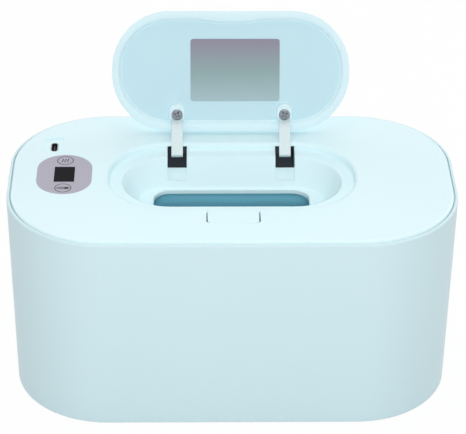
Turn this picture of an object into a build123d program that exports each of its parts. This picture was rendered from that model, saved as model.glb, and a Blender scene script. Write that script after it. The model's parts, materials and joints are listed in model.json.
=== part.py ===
from build123d import *
import os
from math import cos, radians, sin, tan

# Baby wipe warmer: a rounded tub base and a lift-off cover that holds the heater, the
# controls, a dispensing dish and a small sprung lid. Millimetres, +Z up, +Y to the back.
# The origin is at the middle of the anti-slip ring, on the surface the warmer stands on.
# The lid is drawn open, leaning back on its hinge arms.

os.makedirs("parts", exist_ok=True)

# ---- driving dimensions: base -------------------------------------------------------
body_length = 230.0
body_width = 132.0
body_corner = 51.0
rim_height = 110.0
shell_bottom = 1.0
draft_angle = 1.0
wall = 2.6
rim_lip = 1.5
rim_round = 1.2
seam_gap = 0.5
seat_ring_width = 4.5
seat_ring_height = 5.0
fit_gap = 0.2

base_plate_thick = 3.0
base_plate_gap = 0.25
foot_ring_inset = 14.0
foot_ring_width = 6.0
foot_groove_depth = 1.5
base_boss_radius = 4.5
base_boss_height = 10.0
base_boss_fuse = 0.7
base_boss_cap = 1.0

tub_bottom = 16.0
tub_wall = 2.0
tub_inset = 9.0
tub_flange_thick = 2.0
tub_flange_gap = 0.55
tub_floor_round = 6.0
tub_ledge_thick = 2.5
sleeve_gap = 0.4
sleeve_foot = 4.0
sleeve_head = 0.3

# ---- driving dimensions: cover ------------------------------------------------------
panel_proud = 1.2
panel_thick = 2.5
panel_round = 1.8
skirt_gap = 0.6
skirt_wall = 2.0

recess_length = 126.4
recess_width = 64.3
recess_end_flat = 4.3
recess_y = 0.75
recess_depth = 3.8
recess_round = 1.8
ledge_width_x = 6.4
ledge_width_y = 7.15
dish_depth = 14.2
dish_draft = 29.0
dish_round = 1.2
dish_edge_round = 0.8
mouth_length = 81.0
mouth_width = 31.0
mouth_corner = 9.0

underplate_thick = 2.0
underplate_window = (146.0, 70.0, 25.0)
underplate_boss_from_end = 57.0
underplate_boss_from_window = 9.0
underplate_boss_radius = 3.6
gasket_inset = 7.6
gasket_width = 2.4
gasket_height = 2.2

heater_margin = 5.0
heater_plate_thick = 1.2
heater_hole_margin = 5.5
heater_film_margin = 8.0
heater_film_thick = 0.25
heater_film_hole_margin = 2.0
heater_room = 1.9
heater_screw_from_end = 7.0
heater_screw_from_side = 4.0
layer_gap = 0.1

thermostat_from_hole = 17.3
thermostat_size = (9.0, 10.0, 5.6)
thermostat_corner = 1.0
sensor_from_hole = 17.0
sensor_size = (6.0, 4.0, 2.4)
lead_radius = 1.1
lead_start_run = 5.8
lead_step = 1.0
lead_side_run = 16.0
lead_corner_run = 13.0
lead_y = -34.0
lead_turn_y = -22.0
lead_start_bend = 2.4
lead_end_bend = 6.0
lead_long_bend = 8.0

# ---- driving dimensions: controls and power inlet -----------------------------------
overlay_from_middle = 2.8
overlay_y = 1.6
overlay_length = 39.6
overlay_width = 28.2
overlay_thick = 0.3
display_length = 15.1
display_width = 10.3
display_frame = 1.2
display_corner = 0.4
touch_reach = 13.9
touch_spring_radius = 1.8
board_thick = 1.6
board_drop = 6.7
board_end_gap = 2.9
board_right = 16.3
board_front = 25.6
board_back = 20.4
board_tail_margin = 2.0
board_post_from_left = 4.2
board_post_from_right = 3.8
board_post_y = 17.0
board_post_radius = 2.5
chip_size = (9.0, 9.0, 1.4)
chip_from_display = (-4.0, -10.0)
connector_size = (6.0, 12.0, 5.0)
connector_edge = 1.0
connector_from_display = -3.0
inlet_from_end = 22.1
inlet_y = 31.2
inlet_pocket_shift = (-0.45, 0.6)
inlet_pocket_corner = 1.5
inlet_pocket_length = 16.4
inlet_pocket_width = 10.3
inlet_pocket_depth = 0.9
inlet_floor_thick = 1.2
inlet_block_corner = 5.5
inlet_shell_length = 8.9
inlet_shell_width = 3.5
inlet_shell_wall = 0.3
inlet_tongue_length = 6.6
inlet_tongue_thick = 0.7
inlet_tongue_depth = 5.0
inlet_tongue_set_in = 1.0
inlet_tongue_corner = 0.3

# ---- driving dimensions: lid and hinge ----------------------------------------------
lid_gap = 0.5
lid_front_gap = 0.4
lid_end_flat = 2.4
lid_height = 5.0
lid_lift = 0.3
lid_round = 2.0
lid_rim_width = 4.6
lid_recess = 2.5
lid_rim_round = 0.9
lid_floor_round = 0.9
lid_open_angle = 112.0
latch_bulge_length = 35.0
latch_bulge_depth = 1.5
latch_notch_length = 29.8
latch_notch_depth = 0.9
latch_notch_room = 0.5
lid_label_length = 47.2
lid_label_width = 33.1
lid_label_corner = 1.5
lid_label_thick = 0.3
lid_label_x = 2.3
lid_label_place = 32.2

pivot_behind_recess = 6.6
pivot_below_top = 4.0
arm_x = 28.4
arm_width = 6.0
arm_thick = 1.0
arm_screw_place = 9.1
arm_bend_place = 5.0
arm_end = 2.9
arm_bend_round = 2.0
elbow_reach = 12.9
elbow_drop = 0.9
elbow_round = 0.6
arm_eye_radius = 2.3
pin_radius = 1.1
pin_running_gap = 0.05
pin_fit_gap = 0.02
boss_width = 8.8
boss_length = 10.7
boss_place = 9.55
boss_proud = 2.2
boss_round = 0.9
boss_draft = 3.0

arm_slot_width = 10.2
arm_slot_floor = 10.9
arm_slot_skin = 1.4
arm_slot_reach = 15.3
arm_ramp_drop = 3.7
arm_ramp_run = 6.5
arm_ramp_back = 4.6
arm_ramp_round = 1.5
arm_block_front = 4.0
pocket_wall = 1.8
pocket_back = 14.0
pocket_floor = 18.2
elbow_room = 14.0
arm_pad_thick = 0.5

# ---- driving dimensions: release button and latch -----------------------------------
button_length = 25.7
button_width = 14.8
button_side_gap = 0.75
button_front_gap = 0.4
button_corner = 2.0
button_top_thick = 1.2
button_skirt = 1.2
button_rear_wall = 2.2
button_depth = 6.7
button_travel = 0.8
button_edge_round = 0.3
latch_window_half = 7.0
latch_half = 6.6
latch_tooth_reach = 1.0
latch_tooth_thick = 0.7
latch_back_gap = 0.2
latch_upright_thick = 1.8
latch_base_half = 11.0
latch_base_length = 9.4
latch_base_thick = 2.1
latch_wedge_height = 2.8
latch_wedge_x = 9.5
latch_wedge_width = 2.0
latch_seat_width = 6.0
latch_seat_height = 3.9
latch_seat_thick = 1.2
cam_gap = 0.3
cam_foot_length = 2.4
housing_floor = 11.9
housing_wall = 2.0

# ---- driving dimensions: screws and springs -----------------------------------------
screw_radius = 1.2
screw_hole_radius = 1.3
screw_head_radius = 2.9
screw_head_height = 1.5
screw_length = 9.0
small_screw_radius = 0.8
small_screw_hole = 0.9
small_head_radius = 2.0
small_head_height = 1.3
small_screw_length = 4.5
arm_screw_radius = 1.0
arm_screw_length = 3.8
arm_head_round = 0.6
cross_width = 0.7
cross_length = 3.2
cross_depth = 0.8
spring_wire = 0.45
lid_spring_radius = 1.75
lid_spring_turns = 2.5
lid_spring_leg = 4.0
leg_upset = 0.58
latch_spring_radius = 1.5
latch_spring_turns = 5
touch_spring_turns = 4

# ---- modelling allowances -----------------------------------------------------------
through_cut = 1.0
fuse_depth = 0.1
end_flat = 0.01
tip_flat = 0.1
pick_room = 0.5
touching = 1e-3

# ---- heights and places that follow -------------------------------------------------
panel_top = rim_height + panel_proud
panel_bottom = panel_top - panel_thick
seat_z = panel_bottom - fit_gap
ledge_z = panel_top - recess_depth
dish_floor = ledge_z - dish_depth
recess_corner = (recess_width - recess_end_flat) / 2
panel_inset = rim_lip + seam_gap
seat_ring_inset = panel_inset + seat_ring_width
skirt_inset = seat_ring_inset + skirt_gap
skirt_bottom = dish_floor - panel_thick - heater_room
skirt_depth = panel_bottom - skirt_bottom
underplate_top = skirt_bottom - fit_gap
underplate_bottom = underplate_top - underplate_thick
tub_top = underplate_bottom - gasket_height - 2 * fit_gap
corner_x = body_length / 2 - body_corner
corner_y = body_width / 2 - body_corner
dish_length = recess_length - 2 * ledge_width_x
dish_width = recess_width - 2 * ledge_width_y
dish_corner = dish_width / 2 - end_flat
draft_slope = tan(radians(draft_angle))
dish_slope = tan(radians(dish_draft))
recess_back = recess_y + recess_width / 2
recess_front = recess_y - recess_width / 2
hole_length = mouth_length + 2 * heater_hole_margin
hole_width = mouth_width + 2 * heater_hole_margin
hole_corner = mouth_corner + heater_hole_margin
lid_length = recess_length - 2 * lid_gap
lid_width = recess_width - lid_gap - lid_front_gap
lid_corner = (lid_width - lid_end_flat) / 2
arm_slot_front = recess_back - arm_slot_reach
button_front = button_width - recess_front
button_ceiling = panel_top - button_top_thick
tooth_top = button_ceiling - button_travel - layer_gap
tooth_bottom = tooth_top - latch_tooth_thick
overlay_x = overlay_from_middle - (body_length + recess_length) / 4
inlet_x = inlet_from_end - body_length / 2
inlet_pocket_x = inlet_x + inlet_pocket_shift[0]
inlet_pocket_y = inlet_y + inlet_pocket_shift[1]
board_left_x = skirt_inset + skirt_wall + board_end_gap - body_length / 2
board_right_x = overlay_x + board_right


def down(height):
    """A horizontal plane whose extrusions go down from the given height."""
    return Plane(origin=(0, 0, height), x_dir=(1, 0, 0), z_dir=(0, 0, -1))


def flipped(x, y):
    """A point for a sketch on a down() plane, whose own Y runs to the front."""
    return (x, -y)


def outline(inset, mode=Mode.ADD):
    """The body's plan outline, drawn smaller by the inset all round."""
    RectangleRounded(
        body_length - 2 * inset, body_width - 2 * inset, body_corner - inset, mode=mode
    )


def ring(outer_inset, inner_inset):
    """A closed ring between two insets of the plan outline."""
    outline(outer_inset)
    outline(inner_inset, Mode.SUBTRACT)


def drafted(height):
    """How much the drafted outer wall has moved in at a height below the rim."""
    return (rim_height - height) * draft_slope


def dish_outline(height, grow):
    """The dish's outline at a height, with its steep wall leaning in as it goes down."""
    inset = (ledge_z - height) * dish_slope - grow
    RectangleRounded(dish_length - 2 * inset, dish_width - 2 * inset, dish_corner - inset)


def edges_at(part, height):
    """The edges that lie flat at one height."""
    return part.edges().filter_by(
        lambda e: abs(e.bounding_box().min.Z - height) < touching
        and abs(e.bounding_box().max.Z - height) < touching
    )


def inside_recess(edge):
    """Whether an edge belongs to the lid recess, not to the panel's outer edge."""
    middle = edge.center()
    near_x = abs(middle.X) < recess_length / 2 + pick_room
    return near_x and abs(middle.Y - recess_y) < recess_width / 2 + pick_room


def save(part, name):
    """Labels a finished piece and writes it under its own name."""
    part.label = name
    export_step(part, f"parts/{name}.step")


# ---- base ---------------------------------------------------------------------------
base_boss_reach = (
    body_corner - drafted(shell_bottom) - wall - base_boss_radius + base_boss_fuse
)
base_boss_x = corner_x + base_boss_reach * cos(radians(45))
base_boss_y = corner_y + base_boss_reach * sin(radians(45))
base_boss_points = [(sx * base_boss_x, sy * base_boss_y) for sx in (-1, 1) for sy in (-1, 1)]
base_plate_top = shell_bottom + base_plate_thick
tub_flange_bottom = tub_top - tub_flange_thick
tub_ledge_top = tub_flange_bottom - fit_gap

with BuildPart() as body_shell:
    # outer wall, a little wider at the rim than at the foot
    with BuildSketch(down(rim_height)):
        outline(0)
    extrude(amount=rim_height - shell_bottom, taper=draft_angle)
    fillet(edges_at(body_shell.part, rim_height), rim_round)
    # stepped mouth that the cover drops into
    with BuildSketch(down(rim_height)):
        outline(rim_lip)
    extrude(amount=rim_height - seat_z, mode=Mode.SUBTRACT)
    with BuildSketch(down(seat_z)):
        outline(seat_ring_inset)
    extrude(amount=seat_ring_height, mode=Mode.SUBTRACT)
    cavity_top = seat_z - seat_ring_height
    with BuildSketch(down(cavity_top)):
        outline(wall + drafted(cavity_top))
    extrude(amount=cavity_top - shell_bottom, taper=draft_angle, mode=Mode.SUBTRACT)
    # ledge that carries the tub by its flange
    with BuildSketch(down(tub_ledge_top)):
        ring(wall / 2 + drafted(tub_ledge_top), tub_inset - sleeve_gap)
    extrude(amount=tub_ledge_thick)
    # corner bosses for the base plate screws
    with BuildSketch(Plane.XY.offset(base_plate_top + fit_gap)):
        with Locations(*base_boss_points):
            Circle(base_boss_radius)
    extrude(amount=base_boss_height)
    with BuildSketch(Plane.XY.offset(base_plate_top)):
        with Locations(*base_boss_points):
            Circle(screw_hole_radius)
    extrude(amount=base_boss_height - base_boss_cap, mode=Mode.SUBTRACT)
save(body_shell.part, "body_shell")

with BuildPart() as base_plate:
    with BuildSketch(Plane.XY.offset(shell_bottom)):
        outline(wall + drafted(shell_bottom) + base_plate_gap)
    extrude(amount=base_plate_thick)
    # groove for the anti-slip ring
    with BuildSketch(Plane.XY.offset(shell_bottom)):
        ring(foot_ring_inset, foot_ring_inset + foot_ring_width)
    extrude(amount=foot_groove_depth, mode=Mode.SUBTRACT)
    # counterbored screw holes
    with BuildSketch(Plane.XY.offset(shell_bottom)):
        with Locations(*base_boss_points):
            Circle(screw_hole_radius + fit_gap)
    extrude(amount=base_plate_thick, mode=Mode.SUBTRACT)
    with BuildSketch(Plane.XY.offset(shell_bottom)):
        with Locations(*base_boss_points):
            Circle(screw_head_radius + fit_gap)
    extrude(amount=screw_head_height + layer_gap, mode=Mode.SUBTRACT)
save(base_plate.part, "base_plate")

with BuildPart() as anti_slip_ring:
    with BuildSketch():
        ring(foot_ring_inset + layer_gap, foot_ring_inset + foot_ring_width - layer_gap)
    extrude(amount=shell_bottom + foot_groove_depth - layer_gap)
save(anti_slip_ring.part, "anti_slip_ring")

with BuildPart() as inner_tub:
    with BuildSketch(down(tub_top)):
        outline(tub_inset)
    extrude(amount=tub_top - tub_bottom, taper=draft_angle)
    with BuildSketch(down(tub_top)):
        outline(wall + drafted(tub_top) + tub_flange_gap)
    extrude(amount=tub_flange_thick)
    with BuildSketch(down(tub_top)):
        outline(tub_inset + tub_wall)
    extrude(amount=tub_top - tub_bottom - tub_wall, taper=draft_angle, mode=Mode.SUBTRACT)
    fillet(edges_at(inner_tub.part, tub_bottom + tub_wall), tub_floor_round)
save(inner_tub.part, "inner_tub")

sleeve_top = tub_ledge_top - tub_ledge_thick - sleeve_head
sleeve_height = sleeve_top - tub_bottom - sleeve_foot
with BuildPart() as insulation_sleeve:
    with BuildSketch(down(sleeve_top)):
        outline(wall + drafted(sleeve_top) + sleeve_gap)
    extrude(amount=sleeve_height, taper=draft_angle)
    with BuildSketch(down(sleeve_top)):
        outline(tub_inset + (tub_top - sleeve_top) * draft_slope - sleeve_gap)
    extrude(amount=sleeve_height, taper=draft_angle, mode=Mode.SUBTRACT)
save(insulation_sleeve.part, "insulation_sleeve")


def screws(plane, points, head_radius, head_height, radius, length, cross):
    """A set of equal pan-head screws on a plane: heads go up from it, shanks down."""
    with BuildPart() as made:
        with BuildSketch(plane):
            with Locations(*points):
                Circle(head_radius)
        extrude(amount=head_height)
        with BuildSketch(plane):
            with Locations(*points):
                Circle(radius)
        extrude(amount=-length)
        if cross:
            with BuildSketch(plane.offset(head_height - cross_depth)):
                with Locations(*points):
                    Rectangle(cross_length, cross_width)
                    Rectangle(cross_width, cross_length)
            extrude(amount=cross_depth, mode=Mode.SUBTRACT)
    return made


base_screws = screws(
    down(shell_bottom + screw_head_height + layer_gap),
    [flipped(x, y) for x, y in base_boss_points],
    screw_head_radius,
    screw_head_height,
    screw_radius,
    screw_length,
    True,
)
save(base_screws.part, "base_screws")

# ---- hinge and lid geometry ---------------------------------------------------------
pivot_y = recess_back + pivot_behind_recess
pivot_z = panel_top - pivot_below_top
open_cos = cos(radians(lid_open_angle))
open_sin = sin(radians(lid_open_angle))
lid_back_closed = recess_back - lid_gap
lid_rim_closed = ledge_z + lid_lift


def opened(y, z):
    """Where a point of the closed lid lies once it has swung open about the pin."""
    reach_y = y - pivot_y
    reach_z = z - pivot_z
    return (
        pivot_y + reach_y * open_cos + reach_z * open_sin,
        pivot_z - reach_y * open_sin + reach_z * open_cos,
    )


hinge_edge = opened(lid_back_closed, lid_rim_closed)
# the open lid's rim plane: its X is the warmer's X, its Y runs from the hinge edge to the
# free edge, and its Z stands out of the lid's inner face
lid_plane = Plane(
    origin=(0, hinge_edge[0], hinge_edge[1]), x_dir=(1, 0, 0), z_dir=(0, -open_sin, -open_cos)
)


def lid_point(place, height):
    """A point in the warmer's Y and Z from a place along the lid and a height off its rim."""
    return (
        hinge_edge[0] - place * open_cos - height * open_sin,
        hinge_edge[1] + place * open_sin - height * open_cos,
    )


arm_level = boss_proud + arm_thick / 2
arm_tip = lid_point(arm_screw_place + arm_end, arm_level)
arm_bend = lid_point(arm_bend_place, arm_level)
elbow = (pivot_y - elbow_reach, pivot_z - elbow_drop)
arm_sides = {"left": -1, "right": 1}

# ---- cover: top panel ---------------------------------------------------------------
overlay_corner = overlay_width / 2 - tip_flat
board_top = panel_bottom - board_drop
board_post_columns = (board_left_x + board_post_from_left, board_right_x - board_post_from_right)
board_points = [(x, overlay_y + sy * board_post_y) for x in board_post_columns for sy in (-1, 1)]
underplate_boss_x = body_length / 2 - underplate_boss_from_end
underplate_boss_y = underplate_window[1] / 2 + underplate_boss_from_window
underplate_points = [
    (sx * underplate_boss_x, sy * underplate_boss_y) for sx in (-1, 1) for sy in (-1, 1)
]
pocket_y = pivot_y + pocket_back
pocket_z = panel_top - pocket_floor
housing_z = panel_top - housing_floor
button_gap_front = button_front + button_front_gap
button_gap_half = button_length / 2 + button_side_gap

with BuildPart() as top_panel:
    # top plate and the skirt that locates it in the body
    with BuildSketch(down(panel_top)):
        outline(panel_inset)
    extrude(amount=panel_thick)
    with BuildSketch(down(panel_bottom)):
        ring(skirt_inset, skirt_inset + skirt_wall)
    extrude(amount=skirt_depth)
    # underside of the lid recess and of the dish
    with BuildSketch(down(panel_bottom)):
        with Locations(flipped(0, recess_y)):
            RectangleRounded(
                recess_length + 2 * panel_thick,
                recess_width + 2 * panel_thick,
                recess_corner + panel_thick,
            )
    extrude(amount=panel_bottom - ledge_z + panel_thick)
    with BuildSketch(down(ledge_z)):
        with Locations(flipped(0, recess_y)):
            dish_outline(ledge_z, panel_thick / cos(radians(dish_draft)))
    extrude(amount=dish_depth + panel_thick, taper=dish_draft)
    # blocks round the hinge arms
    for side in arm_sides.values():
        block_front = pivot_y - elbow_room - arm_block_front
        with BuildSketch(down(panel_bottom)):
            with Locations(flipped(side * arm_x, (block_front + pocket_y + pocket_wall) / 2)):
                Rectangle(arm_slot_width + 2 * pocket_wall, pocket_y + pocket_wall - block_front)
        extrude(amount=panel_bottom - pocket_z + pocket_wall)
    # housing under the release button
    with BuildSketch(down(panel_bottom)):
        with Locations(flipped(0, (recess_front + housing_wall - button_gap_front - housing_wall) / 2)):
            Rectangle(
                2 * (button_gap_half + housing_wall),
                button_gap_front + recess_front + 2 * housing_wall,
            )
    extrude(amount=panel_bottom - housing_z + housing_wall)
    # floor under the power inlet's pocket
    with BuildSketch(down(panel_bottom)):
        with Locations(flipped(inlet_pocket_x, inlet_pocket_y)):
            RectangleRounded(
                inlet_pocket_width + 2 * panel_thick,
                inlet_pocket_length + 2 * panel_thick,
                inlet_block_corner,
            )
    extrude(amount=inlet_floor_thick)
    # bosses for the underplate and posts for the control board
    with BuildSketch(down(panel_bottom)):
        with Locations(*underplate_points):
            Circle(underplate_boss_radius)
    extrude(amount=skirt_depth)
    with BuildSketch(down(panel_bottom)):
        with Locations(*[flipped(x, y) for x, y in board_points]):
            Circle(board_post_radius)
    extrude(amount=board_drop - layer_gap)
    with BuildSketch(down(skirt_bottom + screw_length + fit_gap)):
        with Locations(*underplate_points):
            Circle(screw_hole_radius)
    extrude(amount=screw_length + fit_gap, mode=Mode.SUBTRACT)
    with BuildSketch(down(board_top + small_screw_length)):
        with Locations(*[flipped(x, y) for x, y in board_points]):
            Circle(small_screw_hole)
    extrude(amount=small_screw_length, mode=Mode.SUBTRACT)
    # lid recess, dish and mouth
    with BuildSketch(down(panel_top)):
        with Locations(flipped(0, recess_y)):
            RectangleRounded(recess_length, recess_width, recess_corner)
    extrude(amount=recess_depth, mode=Mode.SUBTRACT)
    with BuildSketch(down(ledge_z)):
        with Locations(flipped(0, recess_y)):
            dish_outline(ledge_z, 0)
    extrude(amount=dish_depth, taper=dish_draft, mode=Mode.SUBTRACT)
    with BuildSketch(down(dish_floor)):
        with Locations(flipped(0, recess_y)):
            RectangleRounded(mouth_length, mouth_width, mouth_corner)
    extrude(amount=panel_thick, mode=Mode.SUBTRACT)
    # rounded edges
    fillet(edges_at(top_panel.part, panel_top).filter_by(inside_recess), recess_round)
    outer_edge = edges_at(top_panel.part, panel_top).filter_by(lambda e: not inside_recess(e))
    fillet(outer_edge, panel_round)
    fillet(edges_at(top_panel.part, ledge_z), dish_edge_round)
    floor_edges = edges_at(top_panel.part, dish_floor)
    mouth_edges = floor_edges.filter_by(
        lambda e: abs(e.center().Y - recess_y) < mouth_width / 2 + pick_room
        and abs(e.center().X) < mouth_length / 2 + pick_room
    )
    fillet(mouth_edges, dish_edge_round)
    fillet([e for e in floor_edges if e not in mouth_edges], dish_round)
    # slots and pockets for the hinge arms
    for side in arm_sides.values():
        with BuildSketch(Plane.YZ.offset(side * arm_x - arm_slot_width / 2)):
            with Locations((pivot_y, pivot_z)):
                Circle(elbow_room)
            with Locations((pivot_y, panel_top - arm_slot_skin)):
                Rectangle(
                    3 * elbow_room,
                    2 * elbow_room,
                    align=(Align.CENTER, Align.MIN),
                    mode=Mode.SUBTRACT,
                )
            with Locations((pivot_y - pivot_behind_recess, pocket_z)):
                Rectangle(
                    pocket_y - pivot_y + pivot_behind_recess,
                    pocket_floor - arm_slot_skin,
                    align=(Align.MIN, Align.MIN),
                )
            with Locations((arm_slot_front, panel_top - arm_slot_floor)):
                Rectangle(
                    pivot_y - arm_slot_front,
                    arm_slot_floor - arm_slot_skin,
                    align=(Align.MIN, Align.MIN),
                )
            slot_floor_z = panel_top - arm_slot_floor
            ramp_back = recess_back - arm_ramp_back
            with BuildLine():
                Polyline(
                    (ramp_back, slot_floor_z),
                    (arm_slot_front, slot_floor_z),
                    (arm_slot_front, slot_floor_z - arm_ramp_drop),
                    (ramp_back - arm_ramp_run, slot_floor_z - arm_ramp_drop),
                    close=True,
                )
            make_face()
            ramp_tip = vertices().filter_by(
                lambda v: abs(v.Z - slot_floor_z) < touching and abs(v.Y - ramp_back) < touching
            )
            fillet(ramp_tip, arm_ramp_round)
        extrude(amount=arm_slot_width, mode=Mode.SUBTRACT)
        with BuildSketch(Plane.YZ.offset(side * arm_x - arm_slot_width / 2 - pocket_wall)):
            with Locations((pivot_y, pivot_z)):
                Circle(pin_radius + pin_fit_gap)
        extrude(amount=arm_slot_width + 2 * pocket_wall, mode=Mode.SUBTRACT)
    # opening for the release button, with its front corners rounded
    with BuildSketch(down(panel_top)):
        with Locations(flipped(0, recess_front)):
            Rectangle(
                2 * button_gap_half,
                button_gap_front + recess_front,
                align=(Align.CENTER, Align.MIN),
            )
        fillet(vertices().group_by(Axis.Y)[-1], button_corner + button_front_gap)
    extrude(amount=housing_floor, mode=Mode.SUBTRACT)
    # recess for the control overlay, and the display's window
    with BuildSketch(down(panel_top)):
        with Locations(flipped(overlay_x, overlay_y)):
            RectangleRounded(
                overlay_width + 2 * layer_gap, overlay_length + 2 * layer_gap, overlay_corner
            )
    extrude(amount=overlay_thick, mode=Mode.SUBTRACT)
    with BuildSketch(down(panel_top)):
        with Locations(flipped(overlay_x, overlay_y)):
            Rectangle(display_width + 2 * layer_gap, display_length + 2 * layer_gap)
    extrude(amount=panel_thick, mode=Mode.SUBTRACT)
    # pocket and opening of the power inlet
    with BuildSketch(down(panel_top)):
        with Locations(flipped(inlet_pocket_x, inlet_pocket_y)):
            RectangleRounded(inlet_pocket_width, inlet_pocket_length, inlet_pocket_corner)
    extrude(amount=inlet_pocket_depth, mode=Mode.SUBTRACT)
    with BuildSketch(down(panel_top)):
        with Locations(flipped(inlet_x, inlet_y)):
            RectangleRounded(
                inlet_shell_width + 2 * fit_gap,
                inlet_shell_length + 2 * fit_gap,
                inlet_shell_width / 2 + fit_gap - end_flat,
            )
    extrude(amount=panel_thick + inlet_floor_thick, mode=Mode.SUBTRACT)
save(top_panel.part, "top_panel")

# ---- cover: underplate, heater and sensors ------------------------------------------
window_length, window_width, window_corner = underplate_window
heater_screw_x = window_length / 2 - heater_screw_from_end
heater_screw_y = window_width / 2 - heater_screw_from_side
heater_points = [(sx * heater_screw_x, sy * heater_screw_y) for sx in (-1, 1) for sy in (-1, 1)]

with BuildPart() as cover_underplate:
    with BuildSketch(Plane.XY.offset(underplate_bottom)):
        outline(skirt_inset)
        RectangleRounded(window_length, window_width, window_corner, mode=Mode.SUBTRACT)
        with Locations(*underplate_points):
            Circle(screw_hole_radius, mode=Mode.SUBTRACT)
        with Locations(*heater_points):
            Circle(small_screw_hole, mode=Mode.SUBTRACT)
    extrude(amount=underplate_thick)
save(cover_underplate.part, "cover_underplate")

underplate_screws = screws(
    down(underplate_bottom),
    underplate_points,
    screw_head_radius,
    screw_head_height,
    screw_radius,
    screw_length,
    True,
)
save(underplate_screws.part, "underplate_screws")

with BuildPart() as tub_gasket:
    with BuildSketch(Plane.XY.offset(tub_top + fit_gap)):
        ring(gasket_inset, gasket_inset + gasket_width)
    extrude(amount=gasket_height)
save(tub_gasket.part, "tub_gasket")

heater_bottom = underplate_top + layer_gap
heater_top = heater_bottom + heater_plate_thick
with BuildPart() as heater_plate:
    with BuildSketch(Plane.XY.offset(heater_bottom)):
        RectangleRounded(
            window_length + 2 * heater_margin,
            window_width + 2 * heater_margin,
            window_corner + heater_margin,
        )
        with Locations((0, recess_y)):
            RectangleRounded(hole_length, hole_width, hole_corner, mode=Mode.SUBTRACT)
        with Locations(*heater_points):
            Circle(small_screw_hole, mode=Mode.SUBTRACT)
    extrude(amount=heater_plate_thick)
save(heater_plate.part, "heater_plate")

film_bottom = heater_top + layer_gap
film_top = film_bottom + heater_film_thick
with BuildPart() as heater_film:
    with BuildSketch(Plane.XY.offset(film_bottom)):
        RectangleRounded(
            window_length + 2 * (heater_margin - heater_film_margin),
            window_width + 2 * (heater_margin - heater_film_margin),
            window_corner + heater_margin - heater_film_margin,
        )
        with Locations((0, recess_y)):
            RectangleRounded(
                hole_length + 2 * heater_film_hole_margin,
                hole_width + 2 * heater_film_hole_margin,
                hole_corner + heater_film_hole_margin,
                mode=Mode.SUBTRACT,
            )
    extrude(amount=heater_film_thick)
save(heater_film.part, "heater_film")

heater_screws = screws(
    Plane.XY.offset(heater_top + layer_gap),
    heater_points,
    small_head_radius,
    small_head_height,
    small_screw_radius,
    heater_plate_thick + underplate_thick,
    False,
)
save(heater_screws.part, "heater_screws")

thermostat_x = hole_length / 2 + thermostat_from_hole
sensor_x = -hole_length / 2 - sensor_from_hole
with BuildPart() as thermostat:
    with BuildSketch(Plane.XY.offset(film_top + layer_gap)):
        with Locations((thermostat_x, 0)):
            RectangleRounded(thermostat_size[0], thermostat_size[1], thermostat_corner)
    extrude(amount=thermostat_size[2])
save(thermostat.part, "thermostat")

with BuildPart() as temperature_sensor:
    with BuildSketch(Plane.XY.offset(film_top + layer_gap)):
        with Locations((sensor_x, 0)):
            RectangleRounded(sensor_size[0], sensor_size[1], sensor_size[1] / 2 - end_flat)
    extrude(amount=sensor_size[2])
save(temperature_sensor.part, "temperature_sensor")

# ---- cover: controls and power inlet ------------------------------------------------
board_bottom = board_top - board_thick
with BuildPart() as control_board:
    with BuildSketch(Plane.XY.offset(board_bottom)):
        with Locations((board_left_x, overlay_y - board_front)):
            Rectangle(
                board_right_x - board_left_x,
                board_front + board_back,
                align=(Align.MIN, Align.MIN),
            )
        # tail that carries the inlet
        with Locations((inlet_x, overlay_y)):
            Rectangle(
                inlet_shell_width + 2 * board_post_radius,
                inlet_y + inlet_shell_length / 2 + board_tail_margin - overlay_y,
                align=(Align.CENTER, Align.MIN),
            )
        with Locations(*board_points):
            Circle(small_screw_hole, mode=Mode.SUBTRACT)
    extrude(amount=board_thick)
save(control_board.part, "control_board")

board_screws = screws(
    down(board_bottom - layer_gap),
    [flipped(x, y) for x, y in board_points],
    small_head_radius,
    small_head_height,
    small_screw_radius,
    small_screw_length,
    False,
)
save(board_screws.part, "board_screws")

with BuildPart() as control_chip:
    with BuildSketch(down(board_bottom)):
        with Locations(flipped(overlay_x + chip_from_display[0], overlay_y + chip_from_display[1])):
            Rectangle(chip_size[0], chip_size[1])
    extrude(amount=chip_size[2])
save(control_chip.part, "control_chip")

connector_x = board_right_x - connector_edge - connector_size[0] / 2
connector_y = overlay_y + connector_from_display
with BuildPart() as lead_connector:
    with BuildSketch(down(board_bottom)):
        with Locations(flipped(connector_x, connector_y)):
            Rectangle(connector_size[0], connector_size[1])
    extrude(amount=connector_size[2])
save(lead_connector.part, "lead_connector")

lead_z = board_bottom - connector_size[2] / 2
lead_start_x = board_right_x - connector_edge + fit_gap
lead_turn_x = lead_start_x + lead_start_run
lead_points = [
    (lead_start_x, connector_y, lead_z),
    (lead_turn_x, connector_y, lead_z),
    (lead_turn_x + lead_step, connector_y - lead_side_run, lead_z - 2 * lead_step),
    (sensor_x + lead_corner_run, lead_y, lead_z - 3 * lead_step),
    (thermostat_x - lead_corner_run, lead_y, lead_z - 3 * lead_step),
    (thermostat_x, lead_turn_y, lead_z - 4 * lead_step),
    (thermostat_x, -thermostat_size[1] / 2 - fit_gap, lead_z - 4 * lead_step),
]
lead_bends = [lead_start_bend, lead_end_bend, lead_long_bend, lead_long_bend, lead_end_bend]
with BuildPart() as heater_leads:
    with BuildLine() as lead_route:
        FilletPolyline(*lead_points, radius=lead_bends)
    with BuildSketch(Plane(origin=lead_route.line @ 0, z_dir=lead_route.line % 0)):
        Circle(lead_radius)
    sweep()
save(heater_leads.part, "heater_leads")

with BuildPart() as display_module:
    with BuildSketch(Plane.XY.offset(board_top)):
        with Locations((overlay_x, overlay_y)):
            Rectangle(display_width + 2 * display_frame, display_length + 2 * display_frame)
    extrude(amount=board_drop - layer_gap)
save(display_module.part, "display_module")

with BuildPart() as display_lens:
    with BuildSketch(down(panel_top)):
        with Locations(flipped(overlay_x, overlay_y)):
            RectangleRounded(display_width, display_length, display_corner)
    extrude(amount=panel_thick - layer_gap)
save(display_lens.part, "display_lens")

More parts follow.
